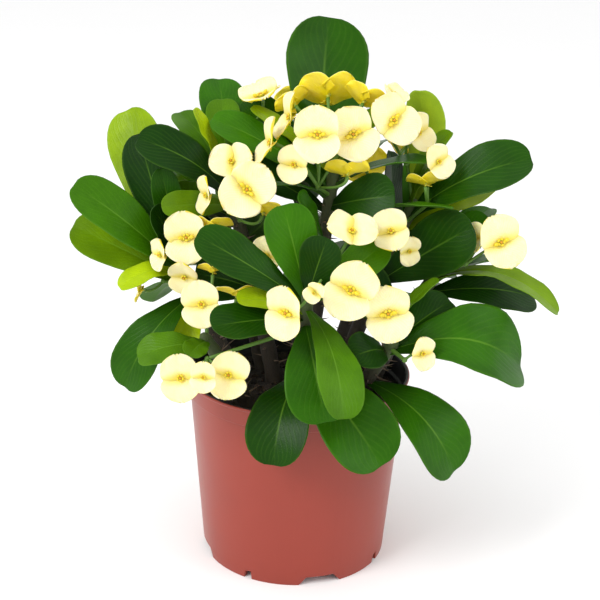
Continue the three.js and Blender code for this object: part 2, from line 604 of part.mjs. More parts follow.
// A blade's middle surface as triangles and as the lines of its net.
function net(rows) {
  const triangles = [];
  const lines = [];
  rows.forEach((row, index) => {
    lines.push([row[0], row[1]], [row[1], row[2]]);
    if (index === 0) return;
    const previous = rows[index - 1];
    [0, 1, 2].forEach((column) => lines.push([previous[column], row[column]]));
    [0, 1].forEach((column) => {
      triangles.push([previous[column], previous[column + 1], row[column + 1]]);
      triangles.push([previous[column], row[column + 1], row[column]]);
    });
  });
  return { triangles, lines, box: new THREE.Box3().setFromPoints(rows.flat()) };
}

function leafRows(leaf) {
  const frame = leafFrame(leaf);
  return CHECK_ROWS.map((t) => {
    const width = t === 1 ? leaf.width * LEAF_END_WIDTH : leafWidth(leaf, t);
    return [-1, 0, 1].map((across) => leafPoint(leaf, frame, t, across, width).point);
  });
}

// Whether a line passes through a triangle, or ends closer to it than the clearance.
function touches([from, to], [a, b, c], clearance) {
  const ab = b.clone().sub(a);
  const ac = c.clone().sub(a);
  const normal = ab.clone().cross(ac);
  const size = normal.length();
  normal.divideScalar(size);
  const below = normal.dot(from) - normal.dot(a);
  const above = normal.dot(to) - normal.dot(a);
  if (below * above > 0 && Math.min(Math.abs(below), Math.abs(above)) > clearance) return false;
  const nearer = Math.abs(below) < Math.abs(above) ? 0 : 1;
  const t = below * above > 0 ? nearer : below / (below - above || 1);
  const point = from.clone().lerp(to, t).sub(a);
  const u = point.clone().cross(ac).dot(normal) / size;
  const v = ab.clone().cross(point).dot(normal) / size;
  return u > -EDGE_MARGIN && v > -EDGE_MARGIN && u + v < 1 + EDGE_MARGIN;
}

function netsTouch(one, other, clearance) {
  if (!one.box.clone().expandByScalar(clearance).intersectsBox(other.box)) return false;
  const crosses = (lines, triangles) => lines.some(
    (line) => triangles.some((triangle) => touches(line, triangle, clearance)),
  );
  return crosses(one.lines, other.triangles) || crosses(other.lines, one.triangles);
}

// Whether a thin rod, given by points along it, passes through a blade or close by its edge.
function rodTouches(rod, { triangles, lines, box }) {
  if (!box.clone().expandByScalar(rod.radius).intersectsBox(rod.box)) return false;
  return rod.lines.some((line) => triangles.some((triangle) => touches(line, triangle, rod.radius))
    || lines.some(([corner]) => new THREE.Line3(...line)
      .closestPointToPoint(corner, true, new THREE.Vector3()).distanceTo(corner) < rod.radius));
}

function rod(curve, radius, steps, shoot) {
  const points = curve.getPoints(steps);
  const lines = points.slice(1).map((point, index) => [points[index], point]);
  return { shoot, radius, lines, box: new THREE.Box3().setFromPoints(points) };
}

// Whether a point of a blade is in the soil or in the pot's wall.
function inPot(point) {
  const radius = Math.hypot(point.x, point.y);
  if (point.z > POT_HEIGHT + POT_CLEARANCE) return false;
  if (radius > LIP_RADIUS + POT_CLEARANCE) return false;
  return point.z < SOIL_TOP + SOIL_CLEARANCE || radius > NECK_RADIUS - WALL - POT_CLEARANCE;
}

function hits(leaf, taken) {
  const rows = leafRows(leaf);
  const whole = net(rows);
  const outer = net(rows.slice(OWN_SHOOT_ROW));
  const inWall = rows.flat().filter(inPot).length;
  const blades = taken.blades.filter((blade) => (blade.shoot === leaf.shoot
    ? netsTouch(outer, blade.outer, BLADE_CLEARANCE)
    : netsTouch(whole, blade.whole, BLADE_CLEARANCE)));
  const rods = taken.rods.filter((each) => rodTouches(each, each.shoot === leaf.shoot ? outer : whole));
  return inWall + blades.length + rods.length;
}

function nudged(leaf, [turn, lift]) {
  const arm = leaf.tip.clone().sub(leaf.foot);
  const level = arm.clone().cross(new THREE.Vector3(0, 0, 1)).normalize();
  arm.applyAxisAngle(level, radians(lift)).applyAxisAngle(new THREE.Vector3(0, 0, 1), radians(turn));
  return { ...leaf, tip: leaf.foot.clone().add(arm) };
}

// The first nudge that clears every neighbour; a leaf that is seen stays where it fits best.
function settle(leaf, taken, nudges, mustStay) {
  let best = null;
  let fewest = Infinity;
  for (const nudge of nudges) {
    const tried = nudged(leaf, nudge);
    const count = hits(tried, taken);
    if (count < fewest) {
      best = tried;
      fewest = count;
    }
    if (count === 0) break;
  }
  if (fewest > 0 && !mustStay) return;
  const rows = leafRows(best);
  taken.blades.push({ shoot: best.shoot, whole: net(rows), outer: net(rows.slice(OWN_SHOOT_ROW)) });
  taken.leaves.push(best);
}

// ---------- the leaves of every shoot ----------

function shownLeaf(shoot, { at, tip, width, arch, roll, fold = FILL.fold }) {
  return { shoot, foot: stemCurve(SHOOTS[shoot]).getPoint(at), tip: vector(tip), width, arch, roll, fold };
}

// A repeatable row of draws between 0 and 1.
function dice(seed) {
  let state = seed;
  return () => {
    state = (state * 1664525 + 1013904223) % 4294967296;
    return state / 4294967296;
  };
}

function filledLeaf(shoot, index, draw) {
  const { count, heading, spread } = SHOOTS[shoot].fill;
  const compass = radians(heading + spread * (2 * share(index * GOLDEN_SHARE) - 1));
  const order = index / Math.max(count - 1, 1);
  const rise = radians(mix(...FILL.rise, order) + FILL.riseDraw * (draw() - 0.5));
  const full = mix(...FILL.length, Math.min(index / FILL.grown, 1));
  const length = full * (1 + FILL.lengthDraw * (draw() - 0.5));
  const foot = stemCurve(SHOOTS[shoot]).getPoint(FILL.first - FILL.spacing * index);
  const level = length * Math.cos(rise);
  const reach = new THREE.Vector3(
    level * Math.cos(compass), level * Math.sin(compass), length * Math.sin(rise),
  );
  return {
    shoot, foot, tip: foot.clone().add(reach),
    width: FILL.width * length, arch: FILL.arch * length,
    roll: FILL.rollDraw * (draw() - 0.5), fold: FILL.fold,
  };
}

function allLeaves(sprays) {
  const names = Object.keys(SHOOTS);
  const stems = names.map(
    (name) => rod(stemCurve(SHOOTS[name]), STEM_FOOT_RADIUS + STEM_CLEARANCE, STEM_CHECKS, name),
  );
  const stalks = sprays.flatMap((spray) => stalkCurves(spray).map(
    (curve) => rod(curve, STALK_RADIUS + STALK_CLEARANCE, STALK_CHECKS, spray.shoot),
  ));
  const bracts = sprays.flatMap(({ blooms }) => blooms.flatMap((bloom) => [1, -1].map((sign) => {
    const whole = net(bractRows(bloom, sign, BRACT_CHECKS).map(({ points }) => points));
    return { shoot: null, whole };
  })));
  const taken = { rods: [...stems, ...stalks], blades: bracts, leaves: [] };
  Object.entries(LEAVES).forEach(([shoot, leaves]) => leaves.forEach(
    (leaf) => settle(shownLeaf(shoot, leaf), taken, NUDGES, true),
  ));
  names.forEach((shoot, order) => {
    const draw = dice(order + 1);
    for (let index = 0; index < SHOOTS[shoot].fill.count; index += 1) {
      settle(filledLeaf(shoot, index, draw), taken, WIDE_NUDGES, false);
    }
  });
  return taken.leaves;
}

function shootSolid(name, leaves, sprays) {
  const curve = stemCurve(SHOOTS[name]);
  return wasm.Manifold.union([
    stem(curve, 0),
    ...thorns(curve),
    ...leaves.filter(({ shoot }) => shoot === name).map(leafSolid),
    ...sprays.filter(({ shoot }) => shoot === name).flatMap(sprayStalks),
  ]);
}

// ---------- the whole plant ----------

const plant = new THREE.Group();

// The largest piece of a join, which leaves out crumbs and fills any hollow that the join sealed.
function whole(body) {
  const pieces = body.simplify(SLIVER).decompose();
  return pieces.reduce((largest, piece) => (piece.volume() > largest.volume() ? piece : largest));
}

function place(name, body, material) {
  const mesh = new THREE.Mesh(surface(whole(body)), material);
  mesh.name = name;
  plant.add(mesh);
}

place("pot", pot(), TERRACOTTA());
place("soil", soil(), PEAT());
const leaves = allLeaves(SPRAYS);
Object.keys(SHOOTS).forEach((name) => {
  place(`shoot_${name}`, shootSolid(name, leaves, SPRAYS), FOLIAGE());
});
SPRAYS.flatMap(({ blooms }) => blooms).forEach((bloom, index) => {
  place(`bloom_${String(index + 1).padStart(2, "0")}`, bloomSolid(bloom), CREAM());
});

export default plant;
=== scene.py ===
"""A crown of thorns (Euphorbia milii) in a 12 cm nursery pot, dressed around its fixed frame."""

import math

import bpy
import numpy as np
from mathutils import Matrix, Vector


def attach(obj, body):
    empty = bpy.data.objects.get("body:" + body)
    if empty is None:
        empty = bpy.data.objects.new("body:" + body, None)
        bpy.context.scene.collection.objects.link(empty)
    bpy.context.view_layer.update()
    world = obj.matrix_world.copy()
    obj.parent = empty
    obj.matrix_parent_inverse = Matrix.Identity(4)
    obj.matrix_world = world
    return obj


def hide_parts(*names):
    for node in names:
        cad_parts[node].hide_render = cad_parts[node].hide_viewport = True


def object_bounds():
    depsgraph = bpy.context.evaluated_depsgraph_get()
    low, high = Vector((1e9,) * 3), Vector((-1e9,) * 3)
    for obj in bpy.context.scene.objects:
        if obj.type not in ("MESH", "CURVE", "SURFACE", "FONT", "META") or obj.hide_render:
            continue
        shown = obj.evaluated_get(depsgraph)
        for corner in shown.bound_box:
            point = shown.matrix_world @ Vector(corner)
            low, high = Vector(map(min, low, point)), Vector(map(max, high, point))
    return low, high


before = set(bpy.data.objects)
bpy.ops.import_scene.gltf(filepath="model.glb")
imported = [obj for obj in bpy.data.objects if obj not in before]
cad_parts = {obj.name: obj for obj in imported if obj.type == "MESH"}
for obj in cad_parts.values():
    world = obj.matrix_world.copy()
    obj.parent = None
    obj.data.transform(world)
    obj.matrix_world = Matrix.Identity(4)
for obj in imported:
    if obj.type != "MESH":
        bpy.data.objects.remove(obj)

bl_info = {
    "name": "Potted Euphorbia",
    "version": (1, 0, 0),
    "blender": (4, 5, 0),
    "location": "View3D > Sidebar > Euphorbia",
    "description": "Builds a crown of thorns with its blooms in a plastic nursery pot",
    "category": "Object",
}

CAD_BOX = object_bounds()
MM = 0.001
UP = np.array([0.0, 0.0, 1.0])
BACK = np.array([0.0, 1.0, 0.0])
GOLDEN_SHARE = 0.618
SEEDS = {"soil": 77, "stems": 300, "leaves": 500, "blooms": 900}

# ---------- sizes in millimetres, the same as the frame's solids ----------

GAP = 0.3
LIP_RADIUS, LIP_HEIGHT, LIP_STEP = 60, 1.2, 0.6
POT_HEIGHT = 102.6
RIM_BAND_HEIGHT, RIM_BAND_RADIUS = 10.3, 58.6
NECK_RADIUS, FOOT_RADIUS, FOOT_RING_WIDTH = 57.3, 50, 2.4
WALL, FLOOR_LIFT, FLOOR_PAD_RADIUS, POT_ROUNDING = 1.3, 4.6, 12, 0.4
WIDE_NOTCH = {"width": 23, "slant": 4, "angles": (17, 107, 197, 287)}
NARROW_NOTCH = {"width": 4.5, "slant": 0.6, "angles": (-28, 62, 152, 242)}

SOIL_TOP, SOIL_RISE = 89, 2.5
CRUMB = {"height": 0.7, "along": 5, "across": 6}

STEM_FOOT_RADIUS, STEM_TIP_RADIUS, STEM_DEPTH = 5, 3.3, 24
STEM_BEND = {"level": 0.35, "height": 0.5}
STEM_SAMPLES = 40
THORN = {"length": 8, "radius": 1, "sunk": 1.2, "lean": 0.25, "last": 0.9, "count": 8}

PETIOLE_WIDTH = 3.4
LEAF_END_WIDTH = 0.45
SPOON = {"rise": 1.25, "fall": 0.42}
FOLD = {"narrowing": 0.25, "power": 1.6}
BLADE_CLEARANCE = 1.1

BRACT = {"length": 14.5, "width": 22.5, "cup": 24, "recurve": 0.14, "dish": 0.12, "bulge": 0.8}
BRACT_CHECKS = (0.03, 0.27, 0.55, 0.84, 1)
BRACT_END_WIDTH = 0.52
CUP_BELOW = 1.4
STALK_RADIUS = 0.95
STALK_APPROACH = 0.4

# ---------- the plant's habit ----------
# Each shoot leaves the soil at its root and ends at its tip. Its last three values place the leaves
# of its hidden side by rule: how many, round which compass angle and how far to each side.

SHOOTS = {
    "leader": ((4, 2), (16, 4, 212), (5, 100, 80)),
    "crown_left": ((-8, 9), (-40, 10, 206), (5, 125, 55)),
    "crown_right": ((16, 8), (58, 10, 192), (5, 55, 55)),
    "left": ((-22, -2), (-62, -6, 160), (3, 140, 35)),
    "right": ((28, -2), (72, -4, 162), (4, 25, 40)),
    "front": ((1, -15), (4, -42, 158), (1, 225, 30)),
    "low_left": ((-16, -18), (-46, -40, 134), (1, 150, 25)),
    "low_right": ((19, -18), (47, -40, 134), (2, 30, 25)),
    "back_left": ((-14, 26), (-46, 46, 178), (8, 130, 80)),
    "back_right": ((16, 27), (46, 48, 182), (10, 50, 80)),
    "back": ((1, 20), (0, 46, 200), (8, 90, 62)),
}
# That rule: angles in degrees, lengths in millimetres, widths and arches as shares of the length.
FILL = {
    "rise": (60, -20), "rise_draw": 12, "length": (46, 68), "length_draw": 0.2, "grown": 4,
    "first": 0.97, "spacing": 0.045, "width": 0.42, "arch": 0.11, "roll_draw": 24, "fold": 0.2,
    "tone": (0.6, 0.2),
}

# Leaves of the visible side: where on its shoot each starts, where it ends, its full width, how far
# it arches, how far it is rolled about its length, and its tone from old and dark to young and lime.
# The lime end is both young leaves' own colour and painted light shining through leaves lit from behind.

LEAVES = {
    "leader": (
        (0.95, (12, 44, 283), 50, -9, 20, 0.3),
        (0.93, (-47, 12, 234), 21, 5, -40, 0.45),
        (0.88, (-30, 34, 241), 22, 6, -45, 0.2),
        (0.97, (-27, 14, 240), 12, 3, -20, 0.8),
        (0.84, (-41, 28, 207), 22, 4, -35, 0.1),
        (0.93, (64, -6, 218), 22, 5, 0, 0.4),
        (0.86, (42, -18, 208), 26, 4, 70, 0.2),
        (0.89, (-11, -22, 208), 10, 3, 0, 0.3),
        (0.8, (69, -26, 207), 14, 5, -10, 0.5),
        (0.7, (-2, -24, 203), 19, 3, -65, 0.35),
    ),
    "crown_left": (
        (0.9, (-83, -4, 226), 26, 9, -50, 0.1),
        (0.88, (-66, -26, 196), 16, 4, -60, 0.6),
        (0.95, (-46, 50, 248), 26, 6, 0, 0.4),
        (0.98, (-55, 4, 240), 13, 1, -30, 1),
        (0.55, (-58, -2, 158), 28, 4, -60, 0.08),
    ),
    "left": (
        (0.97, (-94, 34, 233), 32, 2, -50, 0.75),
        (0.95, (-84, 10, 226), 27, 3, -75, 0.08),
        (0.98, (-71, -6, 212), 16, 2, -75, 0.15),
        (0.99, (-76, -21, 193), 18, 2, -75, 0.05),
        (0.93, (-114, -14, 204), 27, 6, -50, 0.55),
        (0.9, (-117, -4, 180), 26, 3, -55, 0.6),
        (0.93, (-90, -28, 155), 15, 9, -20, 1),
        (0.84, (-88, -32, 103), 27, 14, -30, 0.3),
        (0.8, (-66, -20, 118), 24, 5, -40, 0.9),
    ),
    "low_left": (
        (0.92, (-79, -46, 125), 20, 6, -30, 0.55),
        (0.97, (-55, -54, 133), 13, 3, -20, 0.6),
    ),
    "front": (
        (0.95, (-50, -46, 189), 24, 3, -50, 0.1),
        (0.88, (-31, -50, 159), 17, 4, -20, 0.85),
        (0.96, (-9, -34, 202), 27, 2, -50, 0.5),
        (0.98, (15, -50, 189), 22, 2, 110, 0.15),
        (0.95, (42, -27, 182), 20, 4, 60, 0.5),
        (0.86, (-41, -66, 150), 24, 2, -30, 0.15),
        (0.92, (22, -86, 113), 26, 9, -10, 0.6),
        (0.82, (14, -77, 107), 34, 11, 15, 0.3),
        (0.45, (-10, -70, 77), 33, 14, 0, 0.12),
        (0.5, (42, -72, 82), 39, 12, 26, 0.35),
    ),
    "low_right": (
        (0.97, (76, -26, 152), 22, 4, 40, 0.1),
        (0.9, (112, -46, 121), 46, 20, 36, 0.35),
        (0.9, (26, -60, 134), 22, 5, -40, 0.12),
        (0.64, (80, -54, 71), 37, 14, 25, 0.3),
    ),
    "crown_right": (
        (0.96, (59, 25, 249), 26, 8, 150, 1),
        (0.93, (112, -14, 222), 32, 9, 45, 0.2),
        (0.88, (102, 12, 206), 24, 0, 20, 0.95),
        (0.66, (77, -20, 196), 33, 3, 80, 0.1),
        (0.7, (46, 30, 216), 26, 3, 70, 0.08),
    ),
    "right": (
        (0.97, (97, 2, 188), 20, 4, 45, 0.3),
        (0.93, (131, -24, 146), 20, 14, 10, 0.65),
        (0.85, (125, 8, 143), 28, 8, 40, 0.08),
        (0.62, (26, -6, 160), 28, 4, -70, 0.08),
    ),
    "back_left": (
        (0.8, (-17, 6, 184), 34, 4, -70, 0.08),
        (0.75, (-68, 17, 172), 32, 4, -60, 0.08),
        (0.55, (-45, 18, 166), 28, 4, -60, 0.08),
    ),
    "back_right": (
        (0.8, (30, 8, 180), 32, 4, 70, 0.08),
        (0.7, (72, 18, 172), 34, 4, 60, 0.08),
        (0.5, (26, 12, 152), 28, 4, 50, 0.08),
    ),
}

# Flower stalks: each leaves its shoot at a share of its length and forks to its blooms. A bloom has
# its place, the way it faces, the turn of its bracts about that way, and its size.

SPRAYS = (
    ("leader", 0.9, (8, -10, 205), (
        ((7, -22, 234), (-0.15, -1, 0.25), 5, 1),
        ((24, -15, 233), (0.1, -1, 0.3), 25, 1),
        ((-4, -21, 219), (-0.3, -0.9, 0.1), 0, 0.7),
        ((22, -17, 214), (0, 0.6, 0.8), 90, 0.8),
        ((-15, -16, 228), (-1, -0.2, 0.35), 0, 0.9),
        ((-6, -7, 239), (-1, -0.2, 0.35), 0, 0.9),
    )),
    ("leader", 1, (14, 1, 232), (
        ((12, 13, 247), (0, 0.75, 0.65), 90, 1.1),
        ((-5, 10, 243), (-0.5, 0.6, 0.6), 60, 0.7),
        ((30, 5, 246), (0.4, 0.6, 0.7), 120, 0.85),
    )),
    ("crown_left", 0.85, (-31, -10, 187), (
        ((-27, -26, 207), (0.1, -1, 0.2), -45, 1.05),
        ((-35, -12, 217), (-0.2, -0.75, 0.6), 100, 0.8),
        ((-19, -21, 194), (0.2, 0.5, 0.8), 90, 0.75),
        ((-46, -20, 202), (-0.9, -0.4, 0.1), 0, 0.7),
    )),
    ("crown_left", 1, (-30, 12, 228), (
        ((-22, 20, 244), (-0.3, -0.2, 0.9), 70, 0.95),
    )),
    ("crown_right", 1, (54, 14, 212), (
        ((44, -4, 238), (0.3, -0.85, 0.4), 45, 1),
        ((57, 3, 231), (0.6, -0.7, 0.3), 20, 0.75),
        ((45, 10, 248), (0.5, -0.3, 0.8), 90, 0.6),
    )),
    ("crown_right", 0.92, (64, -4, 196), (
        ((67, -8, 219), (0.4, -0.85, 0.3), 30, 0.65),
        ((62, -6, 207), (0, 0.5, 0.8), 70, 0.7),
    )),
    ("crown_right", 0.8, (52, -14, 190), (
        ((44, -32, 189), (-0.2, -0.8, 0.6), 20, 0.8),
        ((53, -26, 178), (0.5, -0.8, 0), 0, 0.55),
    )),
    ("left", 0.97, (-60, -12, 170), (
        ((-56, -26, 182), (-0.2, -1, 0.2), 10, 0.95),
        ((-44, -24, 186), (0, 0.5, 0.8), 90, 0.75),
        ((-69, -24, 172), (-0.8, -0.6, 0.1), 0, 0.6),
        ((-57, -29, 163), (-0.2, -0.9, -0.3), 0, 0.7),
    )),
    ("left", 0.9, (-70, -12, 154), (
        ((-80, -18, 151), (-1, 0, 0.2), 0, 0.5),
    )),
    ("low_left", 0.98, (-46, -36, 146), (
        ((-47, -48, 155), (-0.1, -1, 0.3), 10, 0.85),
        ((-31, -37, 156), (0, 0.4, 0.9), 90, 0.75),
        ((-43, -31, 166), (0, 0.5, 0.8), 90, 0.55),
    )),
    ("front", 0.8, (-44, -54, 129), (
        ((-56, -62, 122), (-0.1, -1, 0.3), 10, 0.85),
        ((-44, -74, 128), (-0.1, -1, 0.2), 0, 0.55),
        ((-33, -66, 126), (0.1, -1, 0.25), -15, 0.85),
    )),
    ("front", 1, (8, -50, 166), (
        ((-5, -68, 159), (-0.64, -0.77, 0.1), 0, 0.95),
        ((24, -62, 169), (0, -1, 0.2), -25, 1.05),
        ((7, -72, 171), (-0.2, -1, 0), 140, 0.4),
        ((42, -60, 157), (0.1, -1, 0.2), 10, 1),
        ((24, -42, 191), (0.2, -0.55, 0.85), 75, 0.9),
    )),
    ("leader", 0.72, (-4, -14, 172), (
        ((-16, -31, 175), (-0.4, -0.85, 0.3), 0, 0.7),
    )),
    ("low_right", 0.96, (52, -54, 131), (
        ((59, -60, 137), (0.5, -0.8, 0.2), 0, 0.6),
    )),
    ("right", 0.98, (84, -14, 168), (
        ((99, -22, 182), (0.2, -0.9, 0.4), 20, 1),
        ((88, -13, 181), (-0.6, -0.6, 0.5), 30, 0.6),
    )),
    ("back_left", 0.98, (-48, 52, 192), (
        ((-56, 58, 206), (-0.4, 0.7, 0.6), 30, 1),
        ((-36, 68, 195), (0.1, 0.9, 0.4), 80, 1),
    )),
    ("back_right", 0.98, (48, 54, 196), (
        ((56, 60, 211), (0.4, 0.7, 0.6), 20, 1),
        ((36, 70, 196), (-0.1, 0.9, 0.4), 70, 1),
    )),
    ("back", 0.98, (1, 52, 216), (
        ((-10, 60, 230), (-0.3, 0.8, 0.6), 40, 1),
        ((14, 62, 221), (0.3, 0.9, 0.3), 110, 1),
    )),
)

# Small turns of a leaf about its foot, tried in order until the blade clears its neighbours.
NUDGES = (
    (0, 0), (5, 0), (-5, 0), (0, 5), (0, -5), (10, 0), (-10, 0), (8, 8), (-8, 8), (8, -8), (-8, -8),
    (0, 11), (0, -11), (15, 0), (-15, 0), (14, 12), (-14, 12), (14, -12), (-14, -12),
)
WIDE_NUDGES = (
    *NUDGES, (22, 0), (-22, 0), (22, 14), (-22, 14), (22, -14), (-22, -14),
    (30, 0), (-30, 0), (0, 20), (0, -20), (30, 18), (-30, 18), (40, 0), (-40, 0),
)


# ---------- lines and directions ----------


def mix(start, end, share):
    return start + (end - start) * share


def unit(vector):
    return vector / np.linalg.norm(vector)


def turned(vector, axis, degrees):
    """The vector turned about a unit axis, anticlockwise as seen from the axis's end."""
    angle = math.radians(degrees)
    level = np.cross(axis, vector)
    return (vector * math.cos(angle) + level * math.sin(angle)
            + axis * np.dot(axis, vector) * (1 - math.cos(angle)))


def dice(seed):
    """A repeatable row of draws between 0 and 1."""
    state = seed
    while True:
        state = (state * 1664525 + 1013904223) % 4294967296
        yield state / 4294967296


class Curve:
    """A quadratic curve from its start, past its bend, to its end."""

    def __init__(self, start, bend, end):
        self.start, self.bend, self.end = (np.array(point, float) for point in (start, bend, end))

    def at(self, share):
        share = np.asarray(share, float)[..., None]
        return ((1 - share) ** 2 * self.start + 2 * (1 - share) * share * self.bend
                + share ** 2 * self.end)

    def along(self, share):
        share = np.asarray(share, float)[..., None]
        slope = (1 - share) * (self.bend - self.start) + share * (self.end - self.bend)
        return slope / np.linalg.norm(slope, axis=-1, keepdims=True)


def stem_curve(name):
    root, tip, _ = SHOOTS[name]
    foot = np.array([*root, SOIL_TOP - STEM_DEPTH], float)
    end = np.array(tip, float)
    bend = mix(foot, end, np.array([STEM_BEND["level"], STEM_BEND["level"], STEM_BEND["height"]]))
    return Curve(foot, bend, end)


def stem_radius(share):
    return mix(STEM_FOOT_RADIUS, STEM_TIP_RADIUS, share)


# ---------- the form of a leaf and of a bract ----------


def raw_spoon(share):
    return share ** SPOON["rise"] * (1 - share) ** SPOON["fall"]


def spoon(share):
    """The share of its full width that a leaf has along it: a spoon shape with a rounded end."""
    return raw_spoon(share) / raw_spoon(SPOON["rise"] / (SPOON["rise"] + SPOON["fall"]))


def leaf_width(leaf, share):
    return leaf["width"] * spoon(share) + PETIOLE_WIDTH * (1 - share) ** 3


def leaf_frame(leaf):
    """A leaf's bent middle line and the direction across it."""
    foot, tip = leaf["foot"], leaf["tip"]
    along = unit(tip - foot)
    face = turned(unit(UP - along * along[2]), along, leaf["roll"])
    bend = (foot + tip) / 2 + face * 2 * leaf["arch"]
    return Curve(foot, bend, tip), np.cross(along, face)


def leaf_points(leaf, shares, across, widths):
    """Points of a blade for each share along it and each place across it, and its facing there."""
    line, side = leaf_frame(leaf)
    facing = np.cross(side, line.along(shares))[:, None, :]
    half = (np.asarray(widths) / 2)[:, None, None]
    across = np.asarray(across, float)[None, :, None]
    flat = side * across * half * (1 - FOLD["narrowing"] * leaf["fold"])
    raised = facing * np.abs(across) ** FOLD["power"] * half * leaf["fold"]
    return line.at(shares)[:, None, :] + flat + raised, facing


def bloom_frame(bloom):
    """The way a bloom faces and the way its first bract points."""
    _, faces, turn, _ = bloom
    facing = unit(np.array(faces, float))
    upright = unit(UP - facing * facing[2])
    return facing, turned(upright, facing, turn)


def bract_frame(bloom, sign):
    """The directions along, out of and across one of a bloom's two bracts."""
    facing, first = bloom_frame(bloom)
    out = first * sign
    tilt = math.radians(BRACT["cup"])
    along = out * math.cos(tilt) + facing * math.sin(tilt)
    face = facing * math.cos(tilt) - out * math.sin(tilt)
    return along, face, np.cross(along, face)


def bract_shape(share):
    """The share of its full width that a bract's solid has along it."""
    return 2 * np.sqrt(share ** BRACT["bulge"] * (1 - share ** BRACT["bulge"]))


def bract_check_rows(bloom, sign):
    along, face, side = bract_frame(bloom, sign)
    place, _, _, size = bloom
    length = BRACT["length"] * size
    rows = []
    for share in BRACT_CHECKS:
        shape = BRACT_END_WIDTH if share == 1 else bract_shape(share)
        width = BRACT["width"] * size * shape
        sag = face * BRACT["recurve"] * length * share ** 2
        middle = np.array(place, float) + along * length * share - sag
        rows.append([middle + side * across * width / 2 + face * abs(across) * width * BRACT["dish"]
                     for across in (-1, 0, 1)])
    return np.array(rows)


def stalk_curves(spray):
    """The middle lines of a spray's stalks: one up to the fork, then one to the back of each bloom."""
    shoot, start_share, fork, blooms = spray
    start = stem_curve(shoot).at(start_share)
    fork = np.array(fork, float)
    curves = [Curve(start, (start + fork) / 2, fork)]
    for bloom in blooms:
        facing, _ = bloom_frame(bloom)
        end = np.array(bloom[0], float) - facing * (CUP_BELOW + GAP)
        approach = end - facing * STALK_APPROACH * np.linalg.norm(end - fork)
        curves.append(Curve(fork, approach, end))
    return curves


# ---------- keeping blades clear of one another ----------

CHECK_ROWS = np.array([0.12, 0.27, 0.42, 0.57, 0.72, 0.87, 1])
OWN_SHOOT_ROW = 2
EDGE_MARGIN = 0.06
STEM_CLEARANCE, STEM_CHECKS = 1.5, 12
STALK_CLEARANCE, STALK_CHECKS = 0.8, 5
POT_CLEARANCE, SOIL_CLEARANCE = 1, 5


class Net:
    """A blade's middle surface as triangles and as the lines of its net."""

    def __init__(self, rows):
        lines, triangles = [], []
        for index, row in enumerate(rows):
            lines += [(row[0], row[1]), (row[1], row[2])]
            if index == 0:
                continue
            previous = rows[index - 1]
            lines += [(previous[column], row[column]) for column in range(3)]
            for column in range(2):
                triangles.append((previous[column], previous[column + 1], row[column + 1]))
                triangles.append((previous[column], row[column + 1], row[column]))
        self.lines, self.triangles = np.array(lines), np.array(triangles)
        self.low, self.high = rows.reshape(-1, 3).min(0), rows.reshape(-1, 3).max(0)


class Rod:
    """A stem or stalk as short straight lines with a radius."""

    def __init__(self, curve, radius, steps, shoot):
        points = curve.at(np.linspace(0, 1, steps + 1))
        self.lines = np.stack([points[:-1], points[1:]], axis=1)
        self.radius, self.shoot = radius, shoot
        self.low, self.high = points.min(0), points.max(0)


def boxes_meet(one, other, clearance):
    return np.all(one.low - clearance <= other.high) and np.all(other.low <= one.high + clearance)


def any_touch(lines, triangles, clearance):
    """Whether any line passes through a triangle, or ends closer to one than the clearance."""
    start, end = lines[:, None, 0], lines[:, None, 1]
    corner = triangles[None, :, 0]
    ab = triangles[None, :, 1] - corner
    ac = triangles[None, :, 2] - corner
    normal = np.cross(ab, ac)
    size = np.linalg.norm(normal, axis=-1, keepdims=True)
    normal = normal / size
    below = ((start - corner) * normal).sum(-1)
    above = ((end - corner) * normal).sum(-1)
    same_side = below * above > 0
    clear = same_side & (np.minimum(abs(below), abs(above)) > clearance)
    nearer = np.where(abs(below) < abs(above), 0.0, 1.0)
    drop = np.where(below == above, 1, below - above)
    share = np.where(same_side, nearer, below / drop)[..., None]
    point = start + (end - start) * share - corner
    u = (np.cross(point, ac) * normal).sum(-1) / size[..., 0]
    v = (np.cross(ab, point) * normal).sum(-1) / size[..., 0]
    inside = (u > -EDGE_MARGIN) & (v > -EDGE_MARGIN) & (u + v < 1 + EDGE_MARGIN)
    return bool(np.any(inside & ~clear))


def nets_touch(one, other):
    if not boxes_meet(one, other, BLADE_CLEARANCE):
        return False
    return (any_touch(one.lines, other.triangles, BLADE_CLEARANCE)
            or any_touch(other.lines, one.triangles, BLADE_CLEARANCE))


def rod_touches(rod, blade):
    if not boxes_meet(blade, rod, rod.radius):
        return False
    if any_touch(rod.lines, blade.triangles, rod.radius):
        return True
    start, step = rod.lines[None, :, 0], rod.lines[None, :, 1] - rod.lines[None, :, 0]
    corners = blade.lines[:, None, 0]
    share = np.clip(((corners - start) * step).sum(-1) / (step ** 2).sum(-1), 0, 1)[..., None]
    return bool(np.any(np.linalg.norm(start + step * share - corners, axis=-1) < rod.radius))


def points_in_pot(points):
    """How many points of a blade are in the soil or in the pot's wall."""
    radius = np.hypot(points[:, 0], points[:, 1])
    near = (points[:, 2] <= POT_HEIGHT + POT_CLEARANCE) & (radius <= LIP_RADIUS + POT_CLEARANCE)
    low = points[:, 2] < SOIL_TOP + SOIL_CLEARANCE
    return int(np.sum(near & (low | (radius > NECK_RADIUS - WALL - POT_CLEARANCE))))


def leaf_check_rows(leaf):
    widths = [leaf["width"] * LEAF_END_WIDTH if share == 1 else leaf_width(leaf, share)
              for share in CHECK_ROWS]
    return leaf_points(leaf, CHECK_ROWS, (-1, 0, 1), widths)[0]


